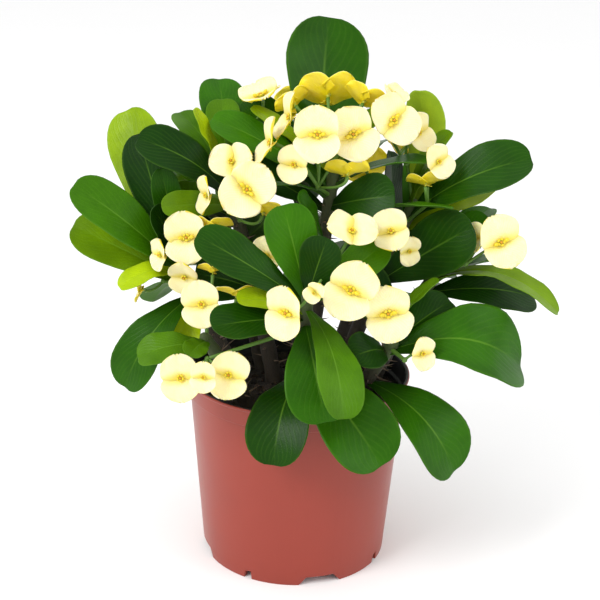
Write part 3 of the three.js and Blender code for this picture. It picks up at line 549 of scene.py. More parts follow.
def hits(leaf, rows, rods, blades):
    """How many stems, stalks and blades a leaf touches, and how many of its points are in the pot."""
    whole, outer = Net(rows), Net(rows[OWN_SHOOT_ROW:])
    count = points_in_pot(rows.reshape(-1, 3))
    for shoot, other_whole, other_outer in blades:
        if shoot == leaf["shoot"]:
            count += nets_touch(outer, other_outer)
        else:
            count += nets_touch(whole, other_whole)
    for rod in rods:
        count += rod_touches(rod, outer if rod.shoot == leaf["shoot"] else whole)
    return count


def nudged(leaf, turn, lift):
    arm = leaf["tip"] - leaf["foot"]
    level = unit(np.cross(arm, UP))
    return {**leaf, "tip": leaf["foot"] + turned(turned(arm, level, lift), UP, turn)}


def settle(leaf, rods, blades, nudges, must_stay):
    """The first nudge that clears every neighbour; a leaf that is seen stays where it fits best."""
    best, fewest = None, math.inf
    for turn, lift in nudges:
        tried = nudged(leaf, turn, lift)
        count = hits(tried, leaf_check_rows(tried), rods, blades)
        if count < fewest:
            best, fewest = tried, count
        if count == 0:
            break
    if fewest > 0 and not must_stay:
        return None
    rows = leaf_check_rows(best)
    blades.append((best["shoot"], Net(rows), Net(rows[OWN_SHOOT_ROW:])))
    return best


def shown_leaf(shoot, at, tip, width, arch, roll, tone):
    return {"shoot": shoot, "foot": stem_curve(shoot).at(at), "tip": np.array(tip, float),
            "width": width, "arch": arch, "roll": roll, "fold": FILL["fold"], "tone": tone}


def filled_leaf(shoot, index, draws):
    count, heading, spread = SHOOTS[shoot][2]
    compass = math.radians(heading + spread * (2 * (index * GOLDEN_SHARE % 1) - 1))
    order = index / max(count - 1, 1)
    rise = math.radians(mix(*FILL["rise"], order) + FILL["rise_draw"] * (next(draws) - 0.5))
    full = mix(*FILL["length"], min(index / FILL["grown"], 1))
    length = full * (1 + FILL["length_draw"] * (next(draws) - 0.5))
    foot = stem_curve(shoot).at(FILL["first"] - FILL["spacing"] * index)
    reach = length * np.array([math.cos(rise) * math.cos(compass), math.cos(rise) * math.sin(compass),
                               math.sin(rise)])
    tone = mix(*FILL["tone"], min(index / FILL["grown"], 1))
    return {"shoot": shoot, "foot": foot, "tip": foot + reach, "width": FILL["width"] * length,
            "arch": FILL["arch"] * length, "roll": FILL["roll_draw"] * (next(draws) - 0.5),
            "fold": FILL["fold"], "tone": tone}


def all_leaves():
    """Every leaf that finds room: those placed one by one, then those placed by rule."""
    rods = [Rod(stem_curve(name), STEM_FOOT_RADIUS + STEM_CLEARANCE, STEM_CHECKS, name)
            for name in SHOOTS]
    rods += [Rod(curve, STALK_RADIUS + STALK_CLEARANCE, STALK_CHECKS, spray[0])
             for spray in SPRAYS for curve in stalk_curves(spray)]
    blades = []
    for *_, blooms in SPRAYS:
        for bloom in blooms:
            for sign in (1, -1):
                blades.append((None, Net(bract_check_rows(bloom, sign)), None))
    leaves = [settle(shown_leaf(shoot, *values), rods, blades, NUDGES, True)
              for shoot, rows in LEAVES.items() for values in rows]
    for order, shoot in enumerate(SHOOTS):
        draws = dice(order + 1)
        for index in range(SHOOTS[shoot][2][0]):
            leaves.append(settle(filled_leaf(shoot, index, draws), rods, blades, WIDE_NUDGES, False))
    return [leaf for leaf in leaves if leaf is not None]


# ---------- making meshes ----------


class Skin:
    """Collects points, faces, surface places and tones in millimetres, and makes one mesh of them."""

    def __init__(self):
        self.points, self.faces, self.places, self.tones, self.finishes = [], [], [], [], []

    def add(self, points, faces, places=None, tone=0.0, finish=0):
        """Adds points and their faces; a tone or a finish is one for all or one for each."""
        points = np.asarray(points, float).reshape(-1, 3)
        first = sum(len(block) for block in self.points)
        self.points.append(points)
        self.faces += [[first + corner for corner in face] for face in faces]
        if places is None:
            places = np.zeros_like(points)
        self.places.append(np.asarray(places, float).reshape(-1, 3))
        self.tones.append(np.broadcast_to(np.asarray(tone, float), (len(points),)))
        self.finishes += list(np.broadcast_to(finish, (len(faces),)))

    def make(self, name, materials, node, sharp_angle=None):
        """Makes the piece, in metres, that takes the place of a node of the frame."""
        mesh = bpy.data.meshes.new(name)
        # A margin's last wave keeps to the frame's box.
        points = np.clip(np.concatenate(self.points) * MM, *CAD_BOX)
        mesh.from_pydata(points.tolist(), [], self.faces)
        mesh.polygons.foreach_set("use_smooth", [True] * len(mesh.polygons))
        mesh.polygons.foreach_set("material_index", [int(finish) for finish in self.finishes])
        place = mesh.attributes.new("place", "FLOAT_VECTOR", "POINT")
        place.data.foreach_set("vector", np.concatenate(self.places).ravel())
        tone = mesh.attributes.new("tone", "FLOAT", "POINT")
        tone.data.foreach_set("value", np.concatenate(self.tones))
        for material in materials:
            mesh.materials.append(material)
        if sharp_angle is not None:
            mesh.set_sharp_from_angle(angle=math.radians(sharp_angle))
        mesh.validate()
        mesh.update()
        piece = bpy.data.objects.new(name, mesh)
        bpy.context.scene.collection.objects.link(piece)
        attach(piece, "root")
        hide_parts(node)
        return piece


def grid_faces(rows, columns, first=0, closed=False):
    """Faces between rows of points; a closed grid joins its last column to its first."""
    span = columns if closed else columns - 1
    faces = []
    for row in range(rows - 1):
        for column in range(span):
            a = first + row * columns + column
            b = first + row * columns + (column + 1) % columns
            faces.append((a, b, b + columns, a + columns))
    return faces


def shell_faces(rows, columns):
    """Faces of a closed blade: an upper grid, a lower grid after it, and the rim between them."""
    lower = rows * columns
    upper_faces = grid_faces(rows, columns)
    lower_faces = [tuple(lower + corner for corner in reversed(face)) for face in upper_faces]
    rim = [row * columns for row in range(rows)]
    rim += [(rows - 1) * columns + column for column in range(1, columns)]
    rim += [row * columns + columns - 1 for row in range(rows - 2, -1, -1)]
    rim += [column for column in range(columns - 2, 0, -1)]
    rim_faces = []
    for index, corner in enumerate(rim):
        after = rim[(index + 1) % len(rim)]
        rim_faces.append((corner, after, lower + after, lower + corner))
    return upper_faces + lower_faces + rim_faces


def add_shell(skin, upper, lower, across, shares, tone):
    """Adds a closed blade, with its place across, its share along and its side as surface places."""
    rows, columns = upper.shape[:2]
    places = np.zeros((2, rows, columns, 3))
    places[..., 0] = across
    places[..., 1] = np.asarray(shares)[:, None]
    places[1, ..., 2] = 1
    skin.add(np.stack([upper, lower]), shell_faces(rows, columns), places, tone)


def ring_points(curve, shares, radii, sides):
    """Rings round a curve, as an array of rings by sides by three."""
    along = curve.along(shares)
    across = np.cross(BACK, along)
    across /= np.linalg.norm(across, axis=-1, keepdims=True)
    up = np.cross(along, across)
    angles = np.arange(sides) * 2 * math.pi / sides
    radii = np.broadcast_to(radii, (len(shares), sides))[..., None]
    cosines, sines = np.cos(angles)[None, :, None], np.sin(angles)[None, :, None]
    spokes = across[:, None] * cosines + up[:, None] * sines
    return curve.at(shares)[:, None] + spokes * radii


def add_tube(skin, rings, tone=0.0, finish=0):
    """Adds a closed tube through rings of points, with its share along and round as places."""
    count, sides = rings.shape[:2]
    faces = grid_faces(count, sides, closed=True)
    faces.append(tuple(range(sides - 1, -1, -1)))
    faces.append(tuple(range((count - 1) * sides, count * sides)))
    places = np.zeros((count, sides, 3))
    places[..., 0] = np.arange(sides) / sides
    places[..., 1] = np.linspace(0, 1, count)[:, None]
    skin.add(rings, faces, places, tone, finish)


def add_lump(skin, centre, axes, rings=6, sides=9, tone=0.0, finish=0):
    """Adds a rounded lump with three half axes given as vectors."""
    angles = np.arange(sides) * 2 * math.pi / sides
    heights = np.linspace(-math.pi / 2, math.pi / 2, rings + 1)
    axes = np.asarray(axes, float)
    points = [np.asarray(centre, float) - axes[2]]
    for height in heights[1:-1]:
        for angle in angles:
            level = axes[0] * math.cos(angle) + axes[1] * math.sin(angle)
            points.append(centre + math.cos(height) * level + math.sin(height) * axes[2])
    points.append(centre + axes[2])
    faces = grid_faces(rings - 1, sides, first=1, closed=True)
    last = len(points) - 1
    for side in range(sides):
        after = (side + 1) % sides
        faces.append((0, 1 + after, 1 + side))
        faces.append((last, last - sides + side, last - sides + after))
    skin.add(np.array(points), faces, None, tone, finish)


# ---------- materials ----------
# A mottle is the scale of its patches, the scale of its grain and the grain's share. Veins are the
# midrib's width, how many side veins there are, their slant and their width. A range of two values
# runs from none to all, and a range of four gives its last two at its first two.

PLASTIC_FINISH = {
    "mottle": (26.0, 2600.0, 0.25), "dull": 0.86, "bright": 1.12, "patches": (0.2, 0.8),
    "smoother": 0.05, "rougher": 0.07, "relief": 0.04 * MM, "gloss": 0.35, "inside_duller": 0.1,
}
SOIL_FINISH = {
    "mottle": (130.0, 1100.0, 0.45), "fibres": (0.42, 0.72), "roughness": 0.95, "relief": 0.8 * MM,
    "gloss": 0.5,
}
BARK_FINISH = {
    "mottle": (160.0, 1400.0, 0.4), "crack": 0.5, "young": (0.1, 0.5), "thorn": (0.5, 1.0),
    "roughness": 0.75, "relief": 0.3 * MM, "gloss": 0.5,
}
STALK_FINISH = {
    "mottle": (220.0, 1800.0, 0.3), "deep": 0.55, "roughness": 0.5, "relief": 0.08 * MM, "gloss": 0.5,
}
LEAF_FINISH = {
    "mottle": (55.0, 1500.0, 0.2), "veins": (0.05, 11.0, 0.5, 0.24),
    "old_to_grown": (0.0, 0.5), "grown_to_young": (0.45, 1.0),
    "clouds": (0.25, 0.75, 0.0, 0.8), "cloud_shade": (0.5, 0.56, 0.45),
    # The foot range and its shadow colour paint shadow on each blade towards its foot.
    "foot": (0.5, 0.0, 0.0, 0.8), "painted_foot_shadow": (0.3, 0.36, 0.3),
    "pale": 0.55, "vein": 0.07, "midrib": 0.7, "margin": 0.2, "under": 0.3,
    "roughness": (0.2, 0.8, 0.26, 0.38), "under_roughness": 0.2,
    "vein_height": -0.14, "grain_height": 0.35, "relief": 0.25 * MM, "gloss": 0.1,
}
BRACT_FINISH = {
    "mottle": (150.0, 2400.0, 0.25), "veins": (0.04, 9.0, 0.9, 0.35), "blush": (0.3, 0.75),
    "claw": (0.42, 0.05, 0.0, 0.85), "vein": 0.12, "back": (0.3, 0.7, 0.0, 0.2), "roughness": 0.55,
    "vein_height": 0.4, "relief": 0.12 * MM, "gloss": 0.3,
    "glow": 0.4, "glow_colour": (1.0, 0.85, 0.2), "glow_depth": 1.5 * MM,
}
CUP_FINISH = {
    "mottle": (900.0, 4000.0, 0.4), "cup_to_gland": (0.0, 0.5), "gland_to_anther": (0.5, 1.0),
    "shade": (0.75, 0.68, 0.5), "roughness": 0.4, "relief": 0.1 * MM, "gloss": 0.5,
}
FLOOR_FINISH = {"mottle": (3.0, 40.0, 0.1), "dim": 0.985, "roughness": 0.8, "gloss": 0.5}

GRAIN_DETAIL = 2.0
VEIN_WOBBLE = {"scale": 4.0, "reach": 0.05}
MIDRIB_FADE = (1.0, 0.55)  # along the blade, from its tip
VEIN_ENDS = (0.95, 0.6)  # across the blade, from its margin
MARGIN_BAND = (0.9, 1.0)


def add_node(tree, kind, inputs=None, **options):
    """Adds a node with its options set and its inputs filled or linked."""
    made = tree.nodes.new(kind)
    for option, value in options.items():
        setattr(made, option, value)
    for key, value in (inputs or {}).items():
        if isinstance(value, bpy.types.NodeSocket):
            tree.links.new(value, made.inputs[key])
        else:
            made.inputs[key].default_value = value
    return made


def calculated(tree, operation, *values):
    return add_node(tree, "ShaderNodeMath", dict(enumerate(values)), operation=operation).outputs[0]


def scaled(tree, value, factor):
    return calculated(tree, "MULTIPLY", value, factor)


def mixed(tree, factor, one, other, blend="MIX"):
    inputs = {0: factor, 6: one, 7: other}
    return add_node(tree, "ShaderNodeMix", inputs, data_type="RGBA", blend_type=blend).outputs[2]


def ranged(tree, value, low, high, to_low=0.0, to_high=1.0):
    inputs = {0: value, 1: low, 2: high, 3: to_low, 4: to_high}
    return add_node(tree, "ShaderNodeMapRange", inputs, interpolation_type="SMOOTHSTEP").outputs[0]


def speckle(tree, vector, scale, detail=3.0, roughness=0.55):
    inputs = {"Vector": vector, "Scale": scale, "Detail": detail, "Roughness": roughness}
    return add_node(tree, "ShaderNodeTexNoise", inputs).outputs["Fac"]


def opaque(colour, strength=1.0):
    """A colour as a socket takes it, darker or brighter by its strength."""
    return tuple(min(1.0, channel * strength) for channel in colour) + (1,)


def multiplied(tree, colour, shade):
    return mixed(tree, 1.0, colour, opaque(shade), "MULTIPLY")


def tone_of(tree):
    return add_node(tree, "ShaderNodeAttribute", attribute_name="tone").outputs["Fac"]


def new_group(name, inputs, outputs):
    """A shader node group from named inputs to named outputs; returns it and its two end nodes."""
    group = bpy.data.node_groups.new(name, "ShaderNodeTree")
    for label, default in inputs:
        socket = group.interface.new_socket(label, in_out="INPUT", socket_type="NodeSocketFloat")
        socket.default_value = default
    for label in outputs:
        group.interface.new_socket(label, in_out="OUTPUT", socket_type="NodeSocketFloat")
    return group, group.nodes.new("NodeGroupInput"), group.nodes.new("NodeGroupOutput")


def mottle_group():
    """Soft patches and fine grain over a surface, as a shade between 0 and 1 and as a height."""
    if "Mottle" in bpy.data.node_groups:
        return bpy.data.node_groups["Mottle"]
    group, given, result = new_group(
        "Mottle", (("Patch Scale", 60.0), ("Grain Scale", 900.0), ("Grain Share", 0.3)),
        ("Shade", "Height"))
    where = add_node(group, "ShaderNodeTexCoord").outputs["Object"]
    patches = speckle(group, where, given.outputs["Patch Scale"])
    grain = speckle(group, where, given.outputs["Grain Scale"], detail=GRAIN_DETAIL)
    both = add_node(group, "ShaderNodeMix", {0: given.outputs["Grain Share"], 2: patches, 3: grain})
    group.links.new(both.outputs[0], result.inputs["Shade"])
    group.links.new(grain, result.inputs["Height"])
    return group


def veins_group():
    """A blade's midrib, slanting side veins, margin, underside and length, from its surface places."""
    if "Blade Veins" in bpy.data.node_groups:
        return bpy.data.node_groups["Blade Veins"]
    group, given, result = new_group(
        "Blade Veins",
        (("Midrib Width", 0.05), ("Vein Count", 14.0), ("Vein Slant", 0.35), ("Vein Width", 0.3)),
        ("Midrib", "Veins", "Margin", "Under", "Along"))
    place = add_node(group, "ShaderNodeAttribute", attribute_name="place").outputs["Vector"]
    sideways, along, under = add_node(group, "ShaderNodeSeparateXYZ", {0: place}).outputs
    across = calculated(group, "ABSOLUTE", sideways)
    midrib = ranged(group, across, given.outputs["Midrib Width"], 0.0)
    fading = ranged(group, along, *MIDRIB_FADE)
    slant = calculated(group, "MULTIPLY", across, given.outputs["Vein Slant"])
    wobble = scaled(group, speckle(group, place, VEIN_WOBBLE["scale"]), VEIN_WOBBLE["reach"])
    run = calculated(group, "SUBTRACT", calculated(group, "ADD", along, wobble), slant)
    phase = calculated(group, "FRACT", calculated(group, "MULTIPLY", run, given.outputs["Vein Count"]))
    ridge = calculated(group, "ABSOLUTE", calculated(group, "SUBTRACT", phase, 0.5))
    veins = ranged(group, ridge, given.outputs["Vein Width"], 0.0)
    inner = ranged(group, across, *VEIN_ENDS)
    group.links.new(calculated(group, "MULTIPLY", midrib, fading), result.inputs["Midrib"])
    group.links.new(calculated(group, "MULTIPLY", veins, inner), result.inputs["Veins"])
    group.links.new(ranged(group, across, *MARGIN_BAND), result.inputs["Margin"])
    group.links.new(under, result.inputs["Under"])
    group.links.new(along, result.inputs["Along"])
    return group


def placed(tree, group, values):
    """Puts a node group into a material with its own values, and returns the group's outputs."""
    return add_node(tree, "ShaderNodeGroup", dict(enumerate(values)), node_tree=group).outputs


def mottled_material(name, mottle):
    """A new material; returns it, its node tree, its shader, and its mottle's shade and height."""
    material = bpy.data.materials.new(name)
    material.use_nodes = True
    tree = material.node_tree
    tree.nodes.clear()
    shader = tree.nodes.new("ShaderNodeBsdfPrincipled")
    output = tree.nodes.new("ShaderNodeOutputMaterial")
    tree.links.new(shader.outputs[0], output.inputs[0])
    shade, height = placed(tree, mottle_group(), mottle)
    return material, tree, shader, shade, height


def finish_shader(tree, shader, finish, colour, height=None, roughness=None):
    """Gives a shader its colour, gloss, relief where it has one, and a roughness, even or uneven."""
    tree.links.new(colour, shader.inputs["Base Color"])
    shader.inputs["Specular IOR Level"].default_value = finish["gloss"]
    if roughness is None:
        shader.inputs["Roughness"].default_value = finish["roughness"]
    else:
        tree.links.new(roughness, shader.inputs["Roughness"])
    if height is not None:
        relief = {"Height": height, "Distance": finish["relief"], "Strength": 1.0}
        bump = add_node(tree, "ShaderNodeBump", relief)
        tree.links.new(bump.outputs[0], shader.inputs["Normal"])


def plastic_material(name, colour, roughness):
    """Moulded plastic: nearly even colour, a faint cloudiness and a fine satin grain."""
    finish = PLASTIC_FINISH
    material, tree, shader, shade, height = mottled_material(name, finish["mottle"])
    dull, bright = opaque(colour, finish["dull"]), opaque(colour, finish["bright"])
    satin = ranged(tree, shade, *finish["patches"], roughness - finish["smoother"],
                   roughness + finish["rougher"])
    finish_shader(tree, shader, finish, mixed(tree, shade, dull, bright), height, satin)
    return material


def soil_material(look):
    """Peat and bark: dark, matt and crumbly, with the odd paler fibre."""
    finish = SOIL_FINISH
    material, tree, shader, shade, height = mottled_material("Potting mix", finish["mottle"])
    fibres = ranged(tree, shade, *finish["fibres"])
    colour = mixed(tree, fibres, opaque(look.soil_colour), opaque(look.fibre_colour))
    finish_shader(tree, shader, finish, colour, height)
    return material


def bark_material(look):
    """A grey-brown woody stem with fine cracks, greener near its tip, and its thorns, by tone."""
    finish = BARK_FINISH
    material, tree, shader, shade, height = mottled_material("Stem bark", finish["mottle"])
    cracked = mixed(tree, shade, opaque(look.bark_colour, finish["crack"]), opaque(look.bark_colour))
    greened = mixed(tree, ranged(tree, tone_of(tree), *finish["young"]), cracked,
                    opaque(look.young_bark_colour))
    thorny = mixed(tree, ranged(tree, tone_of(tree), *finish["thorn"]), greened,
                   opaque(look.thorn_colour))
    finish_shader(tree, shader, finish, thorny, height)
    return material


def stalk_material(look):
    """A thin green flower stalk."""
    finish = STALK_FINISH
    material, tree, shader, shade, height = mottled_material("Flower stalk", finish["mottle"])
    deep, fresh = opaque(look.stalk_colour, finish["deep"]), opaque(look.stalk_colour)
    finish_shader(tree, shader, finish, mixed(tree, shade, deep, fresh), height)
    return material


def leaf_material(look):
    """A waxy green blade: paler midrib, side veins and margin, a matt paler underside, and painted shadow
    that darkens it towards its foot.
    """
    finish = LEAF_FINISH
    material, tree, shader, shade, height = mottled_material("Leaf", finish["mottle"])
    veins = placed(tree, veins_group(), finish["veins"])
    tone = tone_of(tree)
    grown = mixed(tree, ranged(tree, tone, *finish["old_to_grown"]), opaque(look.dark_colour),
                  opaque(look.mid_colour))
    # Young leaves are lime; the lime colour also stands for painted light shining through leaves lit from
    # behind.
    green = mixed(tree, ranged(tree, tone, *finish["grown_to_young"]), grown, opaque(look.lime_and_backlit_colour))
    green = mixed(tree, ranged(tree, shade, *finish["clouds"]), green,
                  multiplied(tree, green, finish["cloud_shade"]))
    # Painted shadow: each blade darkens towards its foot, where the crown shades it.
    green = mixed(tree, ranged(tree, veins["Along"], *finish["foot"]), green,
                  multiplied(tree, green, finish["painted_foot_shadow"]))
    pale = mixed(tree, finish["pale"], green, opaque(look.midrib_colour))
    veined = mixed(tree, scaled(tree, veins["Veins"], finish["vein"]), green, pale)
    ribbed = mixed(tree, scaled(tree, veins["Midrib"], finish["midrib"]), veined, pale)
    edged = mixed(tree, scaled(tree, veins["Margin"], finish["margin"]), ribbed, pale)
    below = mixed(tree, finish["under"], edged, opaque(look.under_colour))
    colour = mixed(tree, veins["Under"], edged, below)
    rough = calculated(tree, "ADD", ranged(tree, shade, *finish["roughness"]),
                       scaled(tree, veins["Under"], finish["under_roughness"]))
    relief = calculated(tree, "ADD", scaled(tree, veins["Veins"], finish["vein_height"]),
                        scaled(tree, height, finish["grain_height"]))
    finish_shader(tree, shader, finish, colour, relief, rough)
    return material


def bract_material(look):
    """A soft cream bract, yellower at its claw, with faint veins that fan out; its underside is yellower
    and also carries painted light shining through it.
    """
    finish = BRACT_FINISH
    material, tree, shader, shade, height = mottled_material("Bract", finish["mottle"])
    veins = placed(tree, veins_group(), finish["veins"])
    claw_colour = opaque(look.claw_colour)
    cream = mixed(tree, ranged(tree, shade, *finish["blush"]), opaque(look.bract_colour),
                  opaque(look.blush_colour))
    clawed = mixed(tree, ranged(tree, veins["Along"], *finish["claw"]), cream, claw_colour)
    veined = mixed(tree, scaled(tree, veins["Veins"], finish["vein"]), clawed, claw_colour)
    # The back colour is partly the bract's yellower back and partly painted light shining through the
    # bract.
    yellow = mixed(tree, ranged(tree, shade, *finish["back"]), opaque(look.back_and_lit_through_colour), veined)
    relief = calculated(tree, "ADD", scaled(tree, veins["Veins"], finish["vein_height"]), height)
    finish_shader(tree, shader, finish, mixed(tree, veins["Under"], veined, yellow), relief)
    shader.inputs["Subsurface Weight"].default_value = finish["glow"]
    shader.inputs["Subsurface Radius"].default_value = finish["glow_colour"]
    shader.inputs["Subsurface Scale"].default_value = finish["glow_depth"]
    return material


def flower_cup_material(look):
    """The small true flowers: a yellow-green cup, yellow glands and orange anthers, by tone."""
    finish = CUP_FINISH
    material, tree, shader, shade, height = mottled_material("Flower cup", finish["mottle"])
    tone = tone_of(tree)
    glands = mixed(tree, ranged(tree, tone, *finish["cup_to_gland"]), opaque(look.cup_colour),
                   opaque(look.gland_colour))
    colour = mixed(tree, ranged(tree, tone, *finish["gland_to_anther"]), glands,
                   opaque(look.anther_colour))
    shadowed = multiplied(tree, colour, finish["shade"])
    finish_shader(tree, shader, finish, mixed(tree, shade, shadowed, colour), height)
    return material


def floor_material(look):
    """An even pale floor."""
    finish = FLOOR_FINISH
    material, tree, shader, shade, _ = mottled_material("Pale floor", finish["mottle"])
    dim, pale = opaque(look.floor_colour, finish["dim"]), opaque(look.floor_colour)
    finish_shader(tree, shader, finish, mixed(tree, shade, dim, pale))
    return material


# ---------- what a user would change ----------


def colour_property(name, description, default):
    return bpy.props.FloatVectorProperty(
        name=name, description=description, default=default, subtype="COLOR", size=3, min=0, max=1)


class PotLook(bpy.types.PropertyGroup):
    """The pot's finish and how finely it is rounded."""
    wall_colour: colour_property("Outside", "Colour of the pot's outside", (0.28, 0.04, 0.024))
    inside_colour: colour_property("Inside", "Colour of the pot's inside", (0.012, 0.012, 0.012))
    roughness: bpy.props.FloatProperty(
        name="Roughness", description="How dull the plastic is", default=0.33, min=0, max=1)
    step_angle: bpy.props.FloatProperty(
        name="Step", description="Angle between the pot's facets", default=math.radians(2.5),
        min=math.radians(1), subtype="ANGLE")


class SoilLook(bpy.types.PropertyGroup):
    """The potting mix."""
    soil_colour: colour_property("Peat", "Colour of the peat", (0.012, 0.008, 0.006))
    fibre_colour: colour_property("Fibres", "Colour of the paler fibres", (0.06, 0.035, 0.02))
    crumbs: bpy.props.IntProperty(
        name="Crumbs", description="How many crumbs lie on the surface", default=420, min=0)


class StemLook(bpy.types.PropertyGroup):
    """The woody stems, their thorns and the flower stalks."""
    bark_colour: colour_property("Bark", "Colour of the old bark", (0.042, 0.031, 0.02))
    young_bark_colour: colour_property("Young bark", "Colour near the tip", (0.05, 0.08, 0.02))
    thorn_colour: colour_property("Thorns", "Colour of the thorns", (0.13, 0.09, 0.06))
    stalk_colour: colour_property("Stalks", "Colour of the flower stalks", (0.12, 0.27, 0.03))
    extra_thorns: bpy.props.IntProperty(
        name="Thorns between", description="Small thorns between two large ones", default=4, min=0)


class LeafLook(bpy.types.PropertyGroup):
    """The leaves' thickness, waves and colours."""
    thickness: bpy.props.FloatProperty(
        name="Thickness", description="Thickness of a blade", default=0.7 * MM, unit="LENGTH")
    wave: bpy.props.FloatProperty(
        name="Wave", description="Height of the margin's waves", default=1.2 * MM, unit="LENGTH")
    dark_colour: colour_property("Old leaf", "Colour of an old leaf", (0.006, 0.036, 0.001))
    mid_colour: colour_property("Grown leaf", "Colour of a grown leaf", (0.034, 0.15, 0.001))
    # The young leaf colour is both young leaves' own lime and painted light shining through leaves lit
    # from behind.
    lime_and_backlit_colour: colour_property("Young leaf", "Colour of a young leaf", (0.4, 0.55, 0.004))
    midrib_colour: colour_property("Midrib", "Colour of the midrib and margin", (0.16, 0.34, 0.03))
    under_colour: colour_property("Underside", "Colour of the underside", (0.12, 0.24, 0.05))


class BloomLook(bpy.types.PropertyGroup):
    """The blooms' bracts and cups."""
    thickness: bpy.props.FloatProperty(
        name="Thickness", description="Thickness of a bract", default=0.5 * MM, unit="LENGTH")
    ruffle: bpy.props.FloatProperty(
        name="Ruffle", description="Height of the bract's ruffles", default=0.8 * MM, unit="LENGTH")
    bract_colour: colour_property("Bract", "Colour of a bract", (0.93, 0.85, 0.5))
    blush_colour: colour_property("Blush", "Colour of a bract's warmer patches", (0.92, 0.78, 0.42))
    claw_colour: colour_property("Claw", "Colour of a bract near its cup", (0.8, 0.62, 0.05))
    # The back colour is partly the bract's yellower back and partly painted light shining through the
    # bract.
    back_and_lit_through_colour: colour_property("Back", "Colour of a bract's back", (1.0, 0.74, 0.005))
    cup_colour: colour_property("Cup", "Colour of the flower cup", (0.45, 0.52, 0.04))
    gland_colour: colour_property("Glands", "Colour of the nectar glands", (0.85, 0.68, 0.02))
    anther_colour: colour_property("Anthers", "Colour of the anthers", (0.78, 0.38, 0.02))


class StageLook(bpy.types.PropertyGroup):
    """The floor, the light and the camera."""
    floor_colour: colour_property("Floor", "Colour of the floor", (0.97, 0.97, 0.97))
    floor_radius: bpy.props.FloatProperty(
        name="Floor radius", description="Radius of the floor", default=12.0, unit="LENGTH")
    sky_strength: bpy.props.FloatProperty(
        name="Sky", description="Strength of the even white light", default=1.0)
    key_power: bpy.props.FloatProperty(
        name="Key light", description="Power of the light from the left", default=14.0, unit="POWER")
    fill_power: bpy.props.FloatProperty(
        name="Fill light", description="Power of the light from the right", default=4.0, unit="POWER")
    lens: bpy.props.FloatProperty(
        name="Lens", description="Focal length of the camera", default=72.0, unit="CAMERA")
    eye: bpy.props.FloatVectorProperty(
        name="Eye", description="Where the camera stands", default=(0.0004, -0.595, 0.351), unit="LENGTH")
    pitch: bpy.props.FloatProperty(
        name="Pitch", description="How far the camera looks down", default=math.radians(19.4),
        subtype="ANGLE")
    roll: bpy.props.FloatProperty(
        name="Roll", description="How far the camera leans", default=math.radians(1.46), subtype="ANGLE")


# ---------- the pot ----------

AXIS_RADIUS = 0.01  # of the small face that closes the middle of the floor
WALL_FOOT = FLOOR_LIFT + 1
ARC_STEPS = 3
CLOSEST_ANGLES = 0.15  # in degrees, between two columns of points
POT_SHARP_ANGLE = 50
OUTSIDE, INSIDE = 0, 1  # the pot's two materials


def outer_radius(height):
    return mix(FOOT_RADIUS, NECK_RADIUS, height / (POT_HEIGHT - RIM_BAND_HEIGHT))


def rounded(outline, radius):
    """An outline with each corner between its ends replaced by a short curve."""
    points = [outline[0]]
    for before, corner, after in zip(outline, outline[1:], outline[2:]):
        before, corner, after = (np.array(point, float) for point in (before, corner, after))
        back, ahead = before - corner, after - corner
        cut = min(radius, np.linalg.norm(back) / 2, np.linalg.norm(ahead) / 2)
        arc = Curve(corner + unit(back) * cut, corner, corner + unit(ahead) * cut)
        points += [tuple(arc.at(step / ARC_STEPS)) for step in range(ARC_STEPS + 1)]
    return points + [outline[-1]]


def pot_outside():
    ridge = POT_HEIGHT - RIM_BAND_HEIGHT
    foot_inside = FOOT_RADIUS - FOOT_RING_WIDTH
    return rounded([
        (AXIS_RADIUS, 0), (FLOOR_PAD_RADIUS, 0), (FLOOR_PAD_RADIUS + POT_ROUNDING, FLOOR_LIFT),
        (foot_inside - POT_ROUNDING, FLOOR_LIFT), (foot_inside, 0), (FOOT_RADIUS, 0),
        (outer_radius(WALL_FOOT), WALL_FOOT),
        (NECK_RADIUS, ridge), (RIM_BAND_RADIUS, ridge + POT_ROUNDING),
        (LIP_RADIUS - LIP_STEP, POT_HEIGHT - LIP_HEIGHT - POT_ROUNDING),
        (LIP_RADIUS, POT_HEIGHT - LIP_HEIGHT), (LIP_RADIUS, POT_HEIGHT),
        (LIP_RADIUS - WALL / 2, POT_HEIGHT),
    ], POT_ROUNDING)


def pot_inside():
    ridge = POT_HEIGHT - RIM_BAND_HEIGHT
    floor = FLOOR_LIFT + WALL
    return rounded([
        (LIP_RADIUS - WALL / 2, POT_HEIGHT), (LIP_RADIUS - LIP_STEP - WALL, POT_HEIGHT),
        (RIM_BAND_RADIUS - WALL, ridge + POT_ROUNDING), (NECK_RADIUS - WALL, ridge - WALL / 2),
        (outer_radius(floor) - WALL, floor), (AXIS_RADIUS, floor),
    ], POT_ROUNDING)


def notch_lift(angle):
    """How far the foot ring's lower edge is lifted at an angle from the front, in degrees."""
    lift = 0.0
    for notch in (WIDE_NOTCH, NARROW_NOTCH):
        for middle in notch["angles"]:
            turn = (angle - middle + 180) % 360 - 180
            inside = notch["width"] / 2 - abs(math.radians(turn)) * FOOT_RADIUS
            lift = max(lift, FLOOR_LIFT * min(max(inside / notch["slant"], 0), 1))
    return lift


def pot_angles(step):
    """Angles round the pot from the front: even steps, and the corners of every notch."""
    angles = list(np.arange(0, 360, step))
    for notch in (WIDE_NOTCH, NARROW_NOTCH):
        for middle in notch["angles"]:
            for width in (notch["width"] / 2, notch["width"] / 2 - notch["slant"]):
                half = math.degrees(width / FOOT_RADIUS)
                angles += [(middle - half) % 360, (middle + half) % 360]
    angles.sort()
    kept = [angles[0]]
    for angle in angles[1:]:
        if angle - kept[-1] > CLOSEST_ANGLES:
            kept.append(angle)
    return kept


